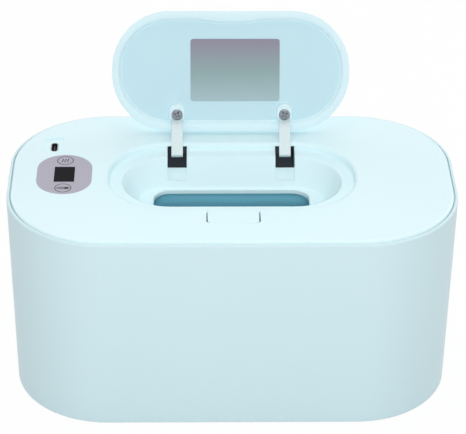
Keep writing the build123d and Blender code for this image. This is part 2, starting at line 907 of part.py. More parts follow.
with BuildPart() as control_overlay:
    with BuildSketch(down(panel_top)):
        with Locations(flipped(overlay_x, overlay_y)):
            RectangleRounded(overlay_width, overlay_length, overlay_corner)
            Rectangle(
                display_width + 2 * layer_gap, display_length + 2 * layer_gap, mode=Mode.SUBTRACT
            )
    extrude(amount=overlay_thick)
save(control_overlay.part, "control_overlay")


def coils(centers, direction, radius, height, turns, leg=0.0):
    """Round-wire coils whose wires' centre lines span the height, with straight legs if any."""
    with BuildPart() as made:
        for center in centers:
            with BuildLine() as wire:
                Helix(
                    pitch=height / turns,
                    height=height,
                    radius=radius,
                    center=center,
                    direction=direction,
                )
            with BuildSketch(Plane(origin=wire.line @ 0, z_dir=wire.line % 0)):
                Circle(spring_wire / 2)
            sweep(path=wire.line, is_frenet=True)
            if leg:
                axis = Vector(direction)
                for end, sign in ((0, -1), (1, 1)):
                    tangent = wire.line % end
                    leg_way = (tangent - axis * tangent.dot(axis)).normalized() * sign
                    with BuildSketch(Plane(origin=wire.line @ end, z_dir=leg_way)):
                        Circle(spring_wire / 2)
                    extrude(amount=leg)
                    # a small upset where the wire turns out of the coil
                    with Locations(wire.line @ end):
                        Sphere(spring_wire * leg_upset)
    return made


touch_spring_z = board_top + spring_wire / 2 + layer_gap
touch_springs = coils(
    [(overlay_x, overlay_y + sign * touch_reach, touch_spring_z) for sign in (-1, 1)],
    (0, 0, 1),
    touch_spring_radius,
    board_drop - spring_wire - 2 * layer_gap,
    touch_spring_turns,
)
save(touch_springs.part, "touch_springs")

inlet_mouth = panel_top - inlet_pocket_depth
inlet_corner = inlet_shell_width / 2 - end_flat
with BuildPart() as inlet_shell:
    with BuildSketch(down(inlet_mouth)):
        with Locations(flipped(inlet_x, inlet_y)):
            RectangleRounded(inlet_shell_width, inlet_shell_length, inlet_corner)
    extrude(amount=inlet_mouth - board_top)
    with BuildSketch(down(inlet_mouth)):
        with Locations(flipped(inlet_x, inlet_y)):
            RectangleRounded(
                inlet_shell_width - 2 * inlet_shell_wall,
                inlet_shell_length - 2 * inlet_shell_wall,
                inlet_corner - inlet_shell_wall,
            )
    extrude(amount=inlet_tongue_set_in + inlet_tongue_depth, mode=Mode.SUBTRACT)
save(inlet_shell.part, "inlet_shell")

with BuildPart() as inlet_tongue:
    with BuildSketch(down(inlet_mouth - inlet_tongue_set_in)):
        with Locations(flipped(inlet_x, inlet_y)):
            RectangleRounded(inlet_tongue_thick, inlet_tongue_length, inlet_tongue_corner)
    extrude(amount=inlet_tongue_depth)
save(inlet_tongue.part, "inlet_tongue")

# ---- lid ----------------------------------------------------------------------------


def at_lid_height(part, height):
    """The edges that lie flat at one height off the lid's rim plane."""
    return part.edges().filter_by(
        lambda e: max(
            abs(lid_plane.to_local_coords(e @ t).Z - height) for t in (0.0, 0.37, 1.0)
        )
        < touching
    )


bulge_radius = ((latch_bulge_length / 2) ** 2 + latch_bulge_depth**2) / (2 * latch_bulge_depth)
rim_inner_edge = lid_width - lid_rim_width
boss_points = [(side * arm_x, boss_place) for side in arm_sides.values()]
arm_screw_points = [(side * arm_x, arm_screw_place) for side in arm_sides.values()]

with BuildPart() as lid_shell:
    with BuildSketch(lid_plane):
        with Locations((0, lid_width / 2)):
            RectangleRounded(lid_length, lid_width, lid_corner)
    extrude(amount=-lid_height)
    fillet(at_lid_height(lid_shell.part, -lid_height), lid_round)
    # hollow inner face, with the rim swollen behind the latch notch
    with BuildSketch(lid_plane):
        with Locations((0, lid_width / 2)):
            RectangleRounded(
                lid_length - 2 * lid_rim_width,
                lid_width - 2 * lid_rim_width,
                lid_corner - lid_rim_width,
            )
        with Locations((0, rim_inner_edge - latch_bulge_depth + bulge_radius)):
            Circle(bulge_radius, mode=Mode.SUBTRACT)
    extrude(amount=-lid_recess, mode=Mode.SUBTRACT)
    fillet(at_lid_height(lid_shell.part, 0), lid_rim_round)
    fillet(at_lid_height(lid_shell.part, -lid_recess), lid_floor_round)
    # bosses that carry the hinge arms
    with BuildSketch(lid_plane.offset(-lid_recess)):
        with Locations(*boss_points):
            RectangleRounded(boss_width, boss_length, boss_width / 2 - tip_flat)
    extrude(amount=lid_recess + boss_proud, taper=boss_draft)
    fillet(at_lid_height(lid_shell.part, boss_proud), boss_round)
    with BuildSketch(lid_plane.offset(boss_proud)):
        with Locations(*arm_screw_points):
            Circle(arm_screw_radius + layer_gap)
    extrude(amount=-arm_screw_length, mode=Mode.SUBTRACT)
    # notch that the latch tooth enters
    with BuildSketch(lid_plane.offset(lid_rim_closed - tooth_bottom + fit_gap)):
        with Locations((0, lid_width - latch_notch_depth)):
            Rectangle(
                latch_notch_length,
                latch_notch_depth + through_cut,
                align=(Align.CENTER, Align.MIN),
            )
    extrude(amount=-fit_gap - latch_tooth_thick - latch_notch_room, mode=Mode.SUBTRACT)
save(lid_shell.part, "lid_shell")

with BuildPart() as lid_label:
    with BuildSketch(lid_plane.offset(-lid_recess)):
        with Locations((lid_label_x, lid_label_place)):
            RectangleRounded(lid_label_length, lid_label_width, lid_label_corner)
    extrude(amount=lid_label_thick)
save(lid_label.part, "lid_label")

for hand, side in arm_sides.items():
    with BuildPart() as hinge_arm:
        arm_edge = Plane.YZ.offset(side * arm_x - arm_width / 2)
        with BuildSketch(arm_edge):
            with BuildLine():
                FilletPolyline(
                    arm_tip,
                    arm_bend,
                    elbow,
                    (pivot_y, pivot_z),
                    radius=[arm_bend_round, elbow_round],
                )
            trace(line_width=arm_thick)
            with Locations((pivot_y, pivot_z)):
                Circle(arm_eye_radius)
        extrude(amount=arm_width)
        with BuildSketch(arm_edge):
            with Locations((pivot_y, pivot_z)):
                Circle(pin_radius + pin_running_gap)
        extrude(amount=arm_width, mode=Mode.SUBTRACT)
        tip_edges = hinge_arm.edges().filter_by(
            lambda e: abs(lid_plane.to_local_coords(e.center()).Y - arm_screw_place - arm_end) < touching
            and e.length < 2 * arm_thick
        )
        fillet(tip_edges, arm_width / 2 - tip_flat)
        with BuildSketch(lid_plane.offset(boss_proud)):
            with Locations((side * arm_x, arm_screw_place)):
                Circle(arm_screw_radius + layer_gap)
        extrude(amount=arm_thick, mode=Mode.SUBTRACT)
    save(hinge_arm.part, f"hinge_arm_{hand}")

arm_screws = screws(
    lid_plane.offset(boss_proud + arm_thick),
    arm_screw_points,
    screw_head_radius,
    screw_head_height,
    arm_screw_radius,
    arm_screw_length,
    True,
)
with arm_screws:
    head_edges = at_lid_height(arm_screws.part, boss_proud + arm_thick + screw_head_height)
    fillet(head_edges.filter_by(GeomType.CIRCLE), arm_head_round)
save(arm_screws.part, "arm_screws")

# ---- hinge pins and lid springs -----------------------------------------------------
pin_length = arm_slot_width + 2 * pocket_wall
spring_room = (arm_slot_width - arm_width) / 2
for hand, side in arm_sides.items():
    with BuildPart() as hinge_pin:
        with BuildSketch(Plane.YZ.offset(side * arm_x - pin_length / 2)):
            with Locations((pivot_y, pivot_z)):
                Circle(pin_radius)
        extrude(amount=pin_length)
    save(hinge_pin.part, f"hinge_pin_{hand}")

    spring_start = arm_x + arm_width / 2 if side > 0 else -arm_x - arm_slot_width / 2
    lid_spring = coils(
        [(spring_start + layer_gap + spring_wire / 2, pivot_y, pivot_z)],
        (1, 0, 0),
        lid_spring_radius,
        spring_room - 2 * layer_gap - spring_wire,
        lid_spring_turns,
        lid_spring_leg,
    )
    save(lid_spring.part, f"lid_spring_{hand}")

# ---- pads that the hinge arms fold down over ----------------------------------------
pad_front = pivot_y - pivot_behind_recess + layer_gap
pad_back = pocket_y - layer_gap
with BuildPart() as arm_pads:
    with BuildSketch(Plane.XY.offset(pocket_z + layer_gap)):
        with Locations(*[(side * arm_x, (pad_front + pad_back) / 2) for side in arm_sides.values()]):
            Rectangle(arm_slot_width - 2 * layer_gap, pad_back - pad_front)
    extrude(amount=arm_pad_thick)
save(arm_pads.part, "arm_pads")

# ---- release button and latch -------------------------------------------------------
rear_face = -recess_front
latch_back = recess_front - latch_back_gap
latch_bottom = housing_z + fit_gap
latch_base_top = latch_bottom + latch_base_thick
latch_front = latch_back - latch_base_length
wedge_top = latch_base_top + latch_wedge_height
# the cam ribs stand on the latch's base when the button is down, and their 45 degree faces
# lie along its wedges
cam_foot = latch_base_top + fit_gap + button_travel
cam_top = wedge_top + cam_gap
cam_foot_front = latch_front + cam_top - cam_foot
cam_foot_back = cam_foot_front + cam_foot_length

with BuildPart() as release_button:
    with BuildSketch(down(panel_top)):
        with Locations((0, rear_face)):
            Rectangle(button_length, button_width, align=(Align.CENTER, Align.MIN))
        fillet(vertices().group_by(Axis.Y)[-1], button_corner)
    extrude(amount=button_depth)
    rear_edge = edges_at(release_button.part, panel_top).sort_by(Axis.Y)[-1]
    fillet(rear_edge, recess_round)
    front_edges = edges_at(release_button.part, panel_top).filter_by(
        lambda e: e.center().Y < recess_front - recess_round - touching
    )
    fillet(front_edges, button_edge_round)
    # hollow underside
    with BuildSketch(down(button_ceiling)):
        with Locations((0, rear_face + button_rear_wall)):
            Rectangle(
                button_length - 2 * button_skirt,
                button_width - button_skirt - button_rear_wall,
                align=(Align.CENTER, Align.MIN),
            )
    extrude(amount=button_depth, mode=Mode.SUBTRACT)
    # gap in the rear wall for the latch
    with BuildSketch(down(button_ceiling)):
        with Locations((0, rear_face - through_cut)):
            Rectangle(
                2 * latch_window_half,
                button_rear_wall + 2 * through_cut,
                align=(Align.CENTER, Align.MIN),
            )
    extrude(amount=button_depth, mode=Mode.SUBTRACT)
    # cam ribs that push the latch forward
    for sign in (-1, 1):
        with BuildSketch(Plane.YZ.offset(sign * latch_wedge_x - latch_wedge_width / 2)):
            with BuildLine():
                Polyline(
                    (cam_foot_back, button_ceiling + fuse_depth),
                    (cam_foot_back, cam_foot),
                    (cam_foot_front, cam_foot),
                    (latch_front, cam_top),
                    (latch_front, button_ceiling + fuse_depth),
                    close=True,
                )
            make_face()
        extrude(amount=latch_wedge_width)
save(release_button.part, "release_button")

with BuildPart() as latch_slider:
    with BuildSketch(Plane.XY.offset(latch_bottom)):
        with Locations((0, latch_front)):
            Rectangle(2 * latch_base_half, latch_base_length, align=(Align.CENTER, Align.MIN))
    extrude(amount=latch_base_thick)
    # upright and tooth
    with BuildSketch(Plane.YZ.offset(-latch_half)):
        with BuildLine():
            Polyline(
                (latch_back - latch_upright_thick, latch_bottom),
                (latch_back, latch_bottom),
                (latch_back, tooth_bottom),
                (latch_back + latch_tooth_reach, tooth_bottom),
                (latch_back + latch_tooth_reach, (tooth_bottom + tooth_top) / 2),
                (latch_back, tooth_top),
                (latch_back - latch_upright_thick, tooth_top),
                close=True,
            )
        make_face()
    extrude(amount=2 * latch_half)
    # wedges under the button's cam ribs
    for sign in (-1, 1):
        with BuildSketch(Plane.YZ.offset(sign * latch_wedge_x - latch_wedge_width / 2)):
            with BuildLine():
                Polyline(
                    (latch_front, latch_base_top - fuse_depth),
                    (latch_front + latch_wedge_height + fuse_depth, latch_base_top - fuse_depth),
                    (latch_front, wedge_top),
                    close=True,
                )
            make_face()
        extrude(amount=latch_wedge_width)
    # seat for the spring
    with BuildSketch(Plane.XY.offset(latch_bottom)):
        with Locations((0, latch_front)):
            Rectangle(latch_seat_width, latch_seat_thick, align=(Align.CENTER, Align.MIN))
    extrude(amount=latch_seat_height)
save(latch_slider.part, "latch_slider")

latch_spring_front = -button_gap_front + layer_gap + spring_wire / 2
latch_spring_back = latch_front - layer_gap - spring_wire / 2
latch_spring = coils(
    [(0, latch_spring_front, latch_bottom + latch_spring_radius + spring_wire)],
    (0, 1, 0),
    latch_spring_radius,
    latch_spring_back - latch_spring_front,
    latch_spring_turns,
)
save(latch_spring.part, "latch_spring")
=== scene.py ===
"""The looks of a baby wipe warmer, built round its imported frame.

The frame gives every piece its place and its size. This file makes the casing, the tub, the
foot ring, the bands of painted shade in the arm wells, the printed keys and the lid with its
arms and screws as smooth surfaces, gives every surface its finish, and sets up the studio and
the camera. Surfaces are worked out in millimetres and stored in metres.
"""

import json
import logging
import math
from collections.abc import Sequence
from dataclasses import dataclass, field
from enum import Enum
from typing import Any

import bmesh
import bpy
import numpy as np
from mathutils import Matrix, Vector


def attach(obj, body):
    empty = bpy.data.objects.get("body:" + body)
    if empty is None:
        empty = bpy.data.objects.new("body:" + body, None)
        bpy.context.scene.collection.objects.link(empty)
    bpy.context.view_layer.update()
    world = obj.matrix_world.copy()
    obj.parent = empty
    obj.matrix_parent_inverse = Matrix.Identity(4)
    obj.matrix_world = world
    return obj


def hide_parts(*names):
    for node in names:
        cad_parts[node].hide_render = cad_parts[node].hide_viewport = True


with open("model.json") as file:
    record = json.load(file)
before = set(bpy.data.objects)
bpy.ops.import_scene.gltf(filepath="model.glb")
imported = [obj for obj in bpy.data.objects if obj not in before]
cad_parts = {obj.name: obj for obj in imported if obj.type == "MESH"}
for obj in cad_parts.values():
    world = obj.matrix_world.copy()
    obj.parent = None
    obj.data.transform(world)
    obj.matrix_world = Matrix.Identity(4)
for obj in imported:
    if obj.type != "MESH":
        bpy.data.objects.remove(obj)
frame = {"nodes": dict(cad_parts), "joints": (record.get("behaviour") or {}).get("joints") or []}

LOG = logging.getLogger("wipe_warmer")
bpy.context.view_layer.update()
Array = np.ndarray
MM = 0.001
# faces are one flat region where their normals agree to 1/400 and their planes to 0.02 mm
TILT_STEPS = 400
LEVEL_STEP_MM = 0.02
# unit axes that turn nothing
UNTURNED = ((1.0, 0.0, 0.0), (0.0, 1.0, 0.0), (0.0, 0.0, 1.0))
# what rounding may take off a unit normal
ROUNDING = 1e-9
# how far past twice its edge's radius a slab's flat faces start, in mm
FLAT_MARGIN = 0.2
# a Mix node's colour inputs and its colour output, whose names it has once for each data type
COLOUR_A, COLOUR_B, COLOUR_OUT = 6, 7, 2
# the octaves of a slow drift and of a fine grain
SLOW_DETAIL, FINE_DETAIL = 2.0, 3.0


# ---------------------------------------------------------------- surfaces as whole arrays


@dataclass(frozen=True)
class RoundedOutline:
    """A rectangle with round corners, from whose line whole families of rings are drawn.

    Every ring shares one core, the rectangle through the four corner centres, so that rings at
    different insets join point for point: a ring's point is its core point plus the outward
    normal times the corner radius less the inset.
    """

    half_x: float
    half_y: float
    corner: float
    centre: tuple[float, float] = (0.0, 0.0)
    arc_steps: int = 24
    run_steps: int = 6

    def core(self) -> tuple[Array, Array]:
        """Gives the core points and the outward normals, counter-clockwise.

        A corner's points all lie at its arc's centre while their normals turn by a quarter, and
        a side's points run straight between two centres with one normal.

        Returns:
            Two arrays of N by 2.
        """
        cx, cy = self.half_x - self.corner, self.half_y - self.corner
        centres = np.array([(cx, cy), (-cx, cy), (-cx, -cy), (cx, -cy)])
        turns = np.linspace(0.0, 1.0, self.arc_steps + 1)
        steps = np.linspace(0.0, 1.0, self.run_steps + 1)[1:-1, None]
        points, normals = [], []
        for quarter in range(4):
            angle = (quarter + turns) * np.pi / 2
            arc = np.stack([np.cos(angle), np.sin(angle)], axis=1)
            run = centres[quarter] + (centres[(quarter + 1) % 4] - centres[quarter]) * steps
            points += [np.repeat(centres[quarter : quarter + 1], len(arc), axis=0), run]
            normals += [arc, np.repeat(arc[-1:], len(run), axis=0)]
        return np.concatenate(points) + np.array(self.centre), np.concatenate(normals)

    def rings(self, insets: Array, heights: Array) -> Array:
        """Draws a ring for each inset and height.

        Args:
            insets: M insets, or M by N where an inset varies along its ring.
            heights: M heights.

        Returns:
            An array of M by N by 3.
        """
        core, normals = self.core()
        by_ring = np.reshape(insets, (len(heights), -1))
        reach = self.corner - np.broadcast_to(by_ring, (len(heights), len(core)))
        flat = core[None] + normals[None] * reach[..., None]
        return np.concatenate([flat, np.broadcast_to(heights[:, None, None], reach.shape + (1,))], axis=2)


def rounded_path(
    points: Sequence[tuple[float, float]], radii: Sequence[float], closed: bool, steps: int = 5
) -> Array:
    """Rounds the corners of a flat path with arcs.

    Each corner is replaced by the arc that touches both of its sides: its ends lie the radius
    times the tangent of half the turn from the corner.

    Args:
        points: The corners.
        radii: One radius for each corner, 0 where it stays sharp.
        closed: Whether the last point joins the first.
        steps: Steps in each arc.

    Returns:
        The rounded path, an array of K by 2.
    """
    corners = np.array(points, float)
    out = []
    for index, (corner, radius) in enumerate(zip(corners, radii)):
        if radius <= 0 or (not closed and index in (0, len(corners) - 1)):
            out.append(corner[None])
            continue
        back = corners[index - 1] - corner
        ahead = corners[(index + 1) % len(corners)] - corner
        back, ahead = back / np.linalg.norm(back), ahead / np.linalg.norm(ahead)
        half = math.acos(float(np.clip(back @ ahead, -1, 1))) / 2
        middle = corner + (back + ahead) / np.linalg.norm(back + ahead) * radius / math.sin(half)
        first, last = corner + back * radius / math.tan(half), corner + ahead * radius / math.tan(half)
        start = math.atan2(*(first - middle)[::-1])
        sweep = math.atan2(*(last - middle)[::-1]) - start
        sweep = (sweep + math.pi) % (2 * math.pi) - math.pi
        angles = start + sweep * np.linspace(0, 1, steps + 1)
        out.append(middle + radius * np.stack([np.cos(angles), np.sin(angles)], axis=1))
    return np.concatenate(out)


@dataclass
class Shape:
    """Closed surfaces: vertices in millimetres, four-sided faces and many-sided caps."""

    points: Array
    quads: Array
    caps: list[list[int]]

    def facing_out(self) -> "Shape":
        """Turns the faces round if the surface is inside out.

        The volume is the sum, over the faces' triangles, of the triple product of their corners,
        and it is negative where they face inwards.

        Returns:
            The shape, facing outwards.
        """
        a, b, c, d = (self.points[self.quads[:, side]] for side in range(4))
        volume = float(np.sum(np.cross(a, b) * c) + np.sum(np.cross(a, c) * d))
        for cap in self.caps:
            ring = self.points[cap]
            volume += float(np.sum(np.cross(ring[1:-1], ring[2:]) @ ring[0]))
        if volume < 0:
            return Shape(self.points, self.quads[:, ::-1], [cap[::-1] for cap in self.caps])
        return self

    def joined(self, *others: "Shape") -> "Shape":
        """Puts several closed surfaces into one shape.

        Args:
            others: The shapes that it takes in.

        Returns:
            One shape that holds them all, in order.
        """
        shapes = (self, *others)
        shifts = np.cumsum([0] + [len(shape.points) for shape in shapes[:-1]])
        quads = np.concatenate([shape.quads + shift for shape, shift in zip(shapes, shifts)])
        caps = [[i + int(shift) for i in cap] for shape, shift in zip(shapes, shifts) for cap in shape.caps]
        return Shape(np.concatenate([shape.points for shape in shapes]), quads, caps)

    def placed(self, origin: Sequence[float], axes: Sequence[Sequence[float]] = UNTURNED) -> "Shape":
        """Moves the shape to an origin and three unit axes, given as rows."""
        return Shape(self.points @ np.array(axes) + np.array(origin), self.quads, self.caps)


def grid_shape(
    grid: Array, wrap_rows: bool = False, first_cap: bool = False, last_cap: bool = False
) -> Shape:
    """Makes a closed surface of a grid whose columns run round and join up.

    Args:
        grid: Rows of points, M by N by 3.
        wrap_rows: Whether the last row joins the first.
        first_cap: Whether one flat face closes the first row.
        last_cap: Whether one flat face closes the last row.

    Returns:
        The shape, facing outwards.
    """
    rows, columns = grid.shape[:2]
    index = np.arange(rows * columns).reshape(rows, columns)
    low = index if wrap_rows else index[:-1]
    high = np.roll(index, -1, axis=0) if wrap_rows else index[1:]
    quads = np.stack([low, np.roll(low, -1, axis=1), np.roll(high, -1, axis=1), high], axis=-1)
    caps = []
    if first_cap:
        caps.append(index[0, ::-1].tolist())
    if last_cap:
        caps.append(index[-1].tolist())
    return Shape(grid.reshape(-1, 3), quads.reshape(-1, 4), caps).facing_out()


def face_values(mesh: bpy.types.Mesh, name: str, width: int) -> Array:
    """Reads a value of every face of a mesh.

    Args:
        mesh: The mesh.
        name: The value's name in a polygon.
        width: How many numbers it has.

    Returns:
        An array of faces by width.
    """
    values = np.zeros(len(mesh.polygons) * width)
    mesh.polygons.foreach_get(name, values)
    return values.reshape(-1, width)


def corner_normals(mesh: bpy.types.Mesh, crease_degrees: float) -> Array:
    """Works out a clean normal for each face corner.

    A corner's normal is the mean of the face normals round its vertex that lie within the
    crease angle of its own, each weighted by the area of the whole flat region that its face is
    part of. Flat regions therefore stay flat up to their edge, whatever their triangles are.

    Args:
        mesh: The mesh.
        crease_degrees: The largest turn that is shaded smooth.

    Returns:
        One unit normal for each face corner.
    """
    loops, faces = len(mesh.loops), len(mesh.polygons)
    vertex = np.zeros(loops, np.int32)
    mesh.loops.foreach_get("vertex_index", vertex)
    sizes = np.zeros(faces, np.int32)
    mesh.polygons.foreach_get("loop_total", sizes)
    normals, centres = face_values(mesh, "normal", 3), face_values(mesh, "center", 3)
    areas = face_values(mesh, "area", 1).ravel()
    offset = np.einsum("ij,ij->i", normals, centres)
    tilt, level = np.round(normals * TILT_STEPS), np.round(offset / (LEVEL_STEP_MM * MM))
    key = np.column_stack([tilt, level]).astype(np.int64)
    _, region = np.unique(key, axis=0, return_inverse=True)
    weight = np.bincount(region.ravel(), areas)[region.ravel()]
    face = np.repeat(np.arange(faces), sizes)
    order = np.argsort(vertex, kind="stable")
    counts = np.bincount(vertex, minlength=len(mesh.vertices))
    starts = np.concatenate([[0], np.cumsum(counts)[:-1]])
    per_loop = counts[vertex]
    mine = np.repeat(np.arange(loops), per_loop)
    within = np.arange(len(mine)) - np.repeat(np.cumsum(per_loop) - per_loop, per_loop)
    other = order[starts[vertex[mine]] + within]
    turn = np.einsum("ij,ij->i", normals[face[mine]], normals[face[other]])
    alike = turn > math.cos(math.radians(crease_degrees))
    share = normals[face[other]] * (weight[face[other]] * alike)[:, None]
    total = np.stack([np.bincount(mine, share[:, axis], minlength=loops) for axis in range(3)], axis=1)
    length = np.linalg.norm(total, axis=1, keepdims=True)
    return np.divide(total, length, out=normals[face], where=length > 0)


# ---------------------------------------------------------------- colour and shader nodes


def linear(colour: str) -> tuple[float, float, float, float]:
    """Turns an sRGB hex colour into the linear values that shaders use.

    This is the sRGB curve: a straight piece near black, and a power of 2.4 above it.

    Args:
        colour: The colour, as in "#RRGGBB".

    Returns:
        Red, green and blue from 0 to 1, and 1 for no transparency.
    """
    parts = [int(colour[i : i + 2], 16) / 255 for i in (1, 3, 5)]
    red, green, blue = (p / 12.92 if p <= 0.04045 else ((p + 0.055) / 1.055) ** 2.4 for p in parts)
    return (red, green, blue, 1.0)


def add(
    tree: Any,
    kind: str,
    settings: dict[str | int, Any] | None = None,
    links: dict[str | int, Any] | None = None,
) -> Any:
    """Adds a shader node with its settings and its links.

    Args:
        tree: The node tree.
        kind: The node's type name, without "ShaderNode".
        settings: Values by property name, input name or input number.
        links: The sockets that feed it, by input name or input number.

    Returns:
        The new node.
    """
    node = tree.nodes.new("ShaderNode" + kind)
    for name, value in (settings or {}).items():
        if isinstance(name, int) or name in node.inputs:
            node.inputs[name].default_value = value
        else:
            setattr(node, name, value)
    for name, socket in (links or {}).items():
        tree.links.new(socket, node.inputs[name])
    return node


def new_tree(owner: Any) -> Any:
    """Turns an owner's nodes on and clears them.

    Args:
        owner: A material or a world.

    Returns:
        Its empty node tree.
    """
    owner.use_nodes = True
    owner.node_tree.nodes.clear()
    return owner.node_tree


def surface(
    tree: Any,
    settings: dict[str | int, Any],
    colour: Any,
    marks: Any,
    gloss: tuple[float, float],
    depth_mm: float,
    under: Any = None,
) -> None:
    """Ends a material whose gloss and skin both follow one pattern of marks.

    Args:
        tree: The material's node tree.
        settings: What is the same all over the surface, by input name.
        colour: The socket that gives its colour.
        marks: The socket that gives the pattern, from 0 to 1.
        gloss: Its roughness, and the share of it by which the marks swing it to both sides.
        depth_mm: How deep the marks lie in the skin.
        under: The socket of the normal that they lie on, where the skin has waves under them.
    """
    roughness, swing = gloss
    ends = {"To Min": roughness * (1 - swing), "To Max": roughness * (1 + swing)}
    uneven = add(tree, "MapRange", ends, {"Value": marks})
    relief = {"Height": marks} if under is None else {"Height": marks, "Normal": under}
    skin = add(tree, "Bump", {"Strength": 1.0, "Distance": depth_mm * MM}, relief)
    links = {
        "Base Color": colour,
        "Roughness": uneven.outputs["Result"],
        "Normal": skin.outputs["Normal"],
    }
    shader = add(tree, "BsdfPrincipled", settings, links)
    add(tree, "OutputMaterial", {}, {"Surface": shader.outputs["BSDF"]})


@dataclass(frozen=True)
class Plastic:
    """A moulded plastic or rubber.

    Its colour drifts a little between two tones over the size of a flow mark, its gloss varies
    with a fine tool grain, and the skin carries the slow waves that a cooling wall leaves.
    """

    name: str
    colour: str
    second: str
    roughness: float
    drift_mm: float = 40.0
    grain_mm: float = 0.4
    grain_depth_mm: float = 0.004
    wave_depth_mm: float = 0.02
    specular: float = 0.5
    ior: float = 1.5
    sheen: float = 0.0
    gloss_swing: float = 0.12

    def build(self) -> bpy.types.Material:
        """Makes the material.

        Returns:
            The material, with its nodes.
        """
        material = bpy.data.materials.new(self.name)
        tree = new_tree(material)
        place = {"Vector": add(tree, "TexCoord").outputs["Object"]}
        drift = add(tree, "TexNoise", {"Scale": 1 / (self.drift_mm * MM), "Detail": SLOW_DETAIL}, place)
        grain = add(tree, "TexNoise", {"Scale": 1 / (self.grain_mm * MM), "Detail": FINE_DETAIL}, place)
        tones = {"data_type": "RGBA", COLOUR_A: linear(self.colour), COLOUR_B: linear(self.second)}
        tone = add(tree, "Mix", tones, {"Factor": drift.outputs["Fac"]})
        depth = {"Strength": 1.0, "Distance": self.wave_depth_mm * MM}
        waves = add(tree, "Bump", depth, {"Height": drift.outputs["Fac"]})
        surface(
            tree,
            {"IOR": self.ior, "Specular IOR Level": self.specular, "Sheen Weight": self.sheen},
            tone.outputs[COLOUR_OUT],
            grain.outputs["Fac"],
            (self.roughness, self.gloss_swing),
            self.grain_depth_mm,
            waves.outputs["Normal"],
        )
        return material


@dataclass(frozen=True)
class Metal:
    """A bare or plated metal whose marks are stretched along the way it was worked."""

    name: str
    colour: str
    second: str
    roughness: float
    mark_mm: tuple[float, float, float] = (0.3, 0.3, 0.3)
    mark_depth_mm: float = 0.003
    gloss_swing: float = 0.25

    def build(self) -> bpy.types.Material:
        """Makes the material.

        Returns:
            The material, with its nodes.
        """
        material = bpy.data.materials.new(self.name)
        tree = new_tree(material)
        place = {"Vector": add(tree, "TexCoord").outputs["Object"]}
        scale = tuple(1 / (mark * MM) for mark in self.mark_mm)
        stretched = add(tree, "Mapping", {"Scale": scale}, place)
        grain = {"Scale": 1.0, "Detail": FINE_DETAIL}
        marks = add(tree, "TexNoise", grain, {"Vector": stretched.outputs["Vector"]})
        tones = {"data_type": "RGBA", COLOUR_A: linear(self.colour), COLOUR_B: linear(self.second)}
        tone = add(tree, "Mix", tones, {"Factor": marks.outputs["Fac"]})
        surface(
            tree,
            {"Metallic": 1.0},
            tone.outputs[COLOUR_OUT],
            marks.outputs["Fac"],
            (self.roughness, self.gloss_swing),
            self.mark_depth_mm,
        )
        return material


@dataclass(frozen=True)
class FilmWithPaintedReflection:
    """A satin film whose colour runs from one colour to another up its height: a painted reflection of its
    surroundings.

    The film is screen-printed in a silvery ink with a fine mottle, under a matt laminate.
    """

    name: str
    low: str
    middle: str
    high: str
    bottom_mm: float
    top_mm: float
    middle_place: float = 0.45
    roughness: float = 0.42
    gloss_swing: float = 0.2
    specular: float = 0.35
    mottle_mm: float = 0.9
    mottle_depth_mm: float = 0.003

    def build(self) -> bpy.types.Material:
        """Makes the material.

        Returns:
            The material, with its nodes.
        """
        material = bpy.data.materials.new(self.name)
        tree = new_tree(material)
        place = {"Vector": add(tree, "TexCoord").outputs["Object"]}
        # the colour by height is a painted reflection of the surroundings in the satin film
        height = add(tree, "SeparateXYZ", {}, place)
        ends = {"From Min": self.bottom_mm * MM, "From Max": self.top_mm * MM}
        share = add(tree, "MapRange", ends, {"Value": height.outputs["Z"]})
        ramp = add(tree, "ValToRGB", {}, {"Fac": share.outputs["Result"]})
        stops = ramp.color_ramp.elements
        stops[0].color, stops[1].color = linear(self.low), linear(self.high)
        middle = stops.new(self.middle_place)
        middle.color = linear(self.middle)
        mottle = add(tree, "TexNoise", {"Scale": 1 / (self.mottle_mm * MM), "Detail": FINE_DETAIL}, place)
        surface(
            tree,
            {"Specular IOR Level": self.specular},
            ramp.outputs["Color"],
            mottle.outputs["Fac"],
            (self.roughness, self.gloss_swing),
            self.mottle_depth_mm,
        )
        return material


class Slot(Enum):
    """The record's material slots."""

    SHELL = "shell_white"
    COVER = "cover_white"
    LID = "lid_aqua"
    BASE = "base_grey"
    TUB = "tub_teal"
    SILICONE = "silicone"
    PAD = "pad_dark"
    FOAM = "foam"
    SCREW = "steel_screw"
    PIN = "pin_steel"
    SPRING = "spring_steel"
    ARM = "arm_steel"
    INLET = "inlet_steel"
    HEATER = "heater_aluminium"
    FILM = "heater_film"
    COMPONENT = "component_black"
    BOARD = "board_green"
    CONNECTOR = "connector_white"
    LEAD = "lead_red"
    DISPLAY = "display_black"
    OVERLAY = "overlay_lavender"
    LABEL = "label_satin"
    LATCH = "latch_grey"


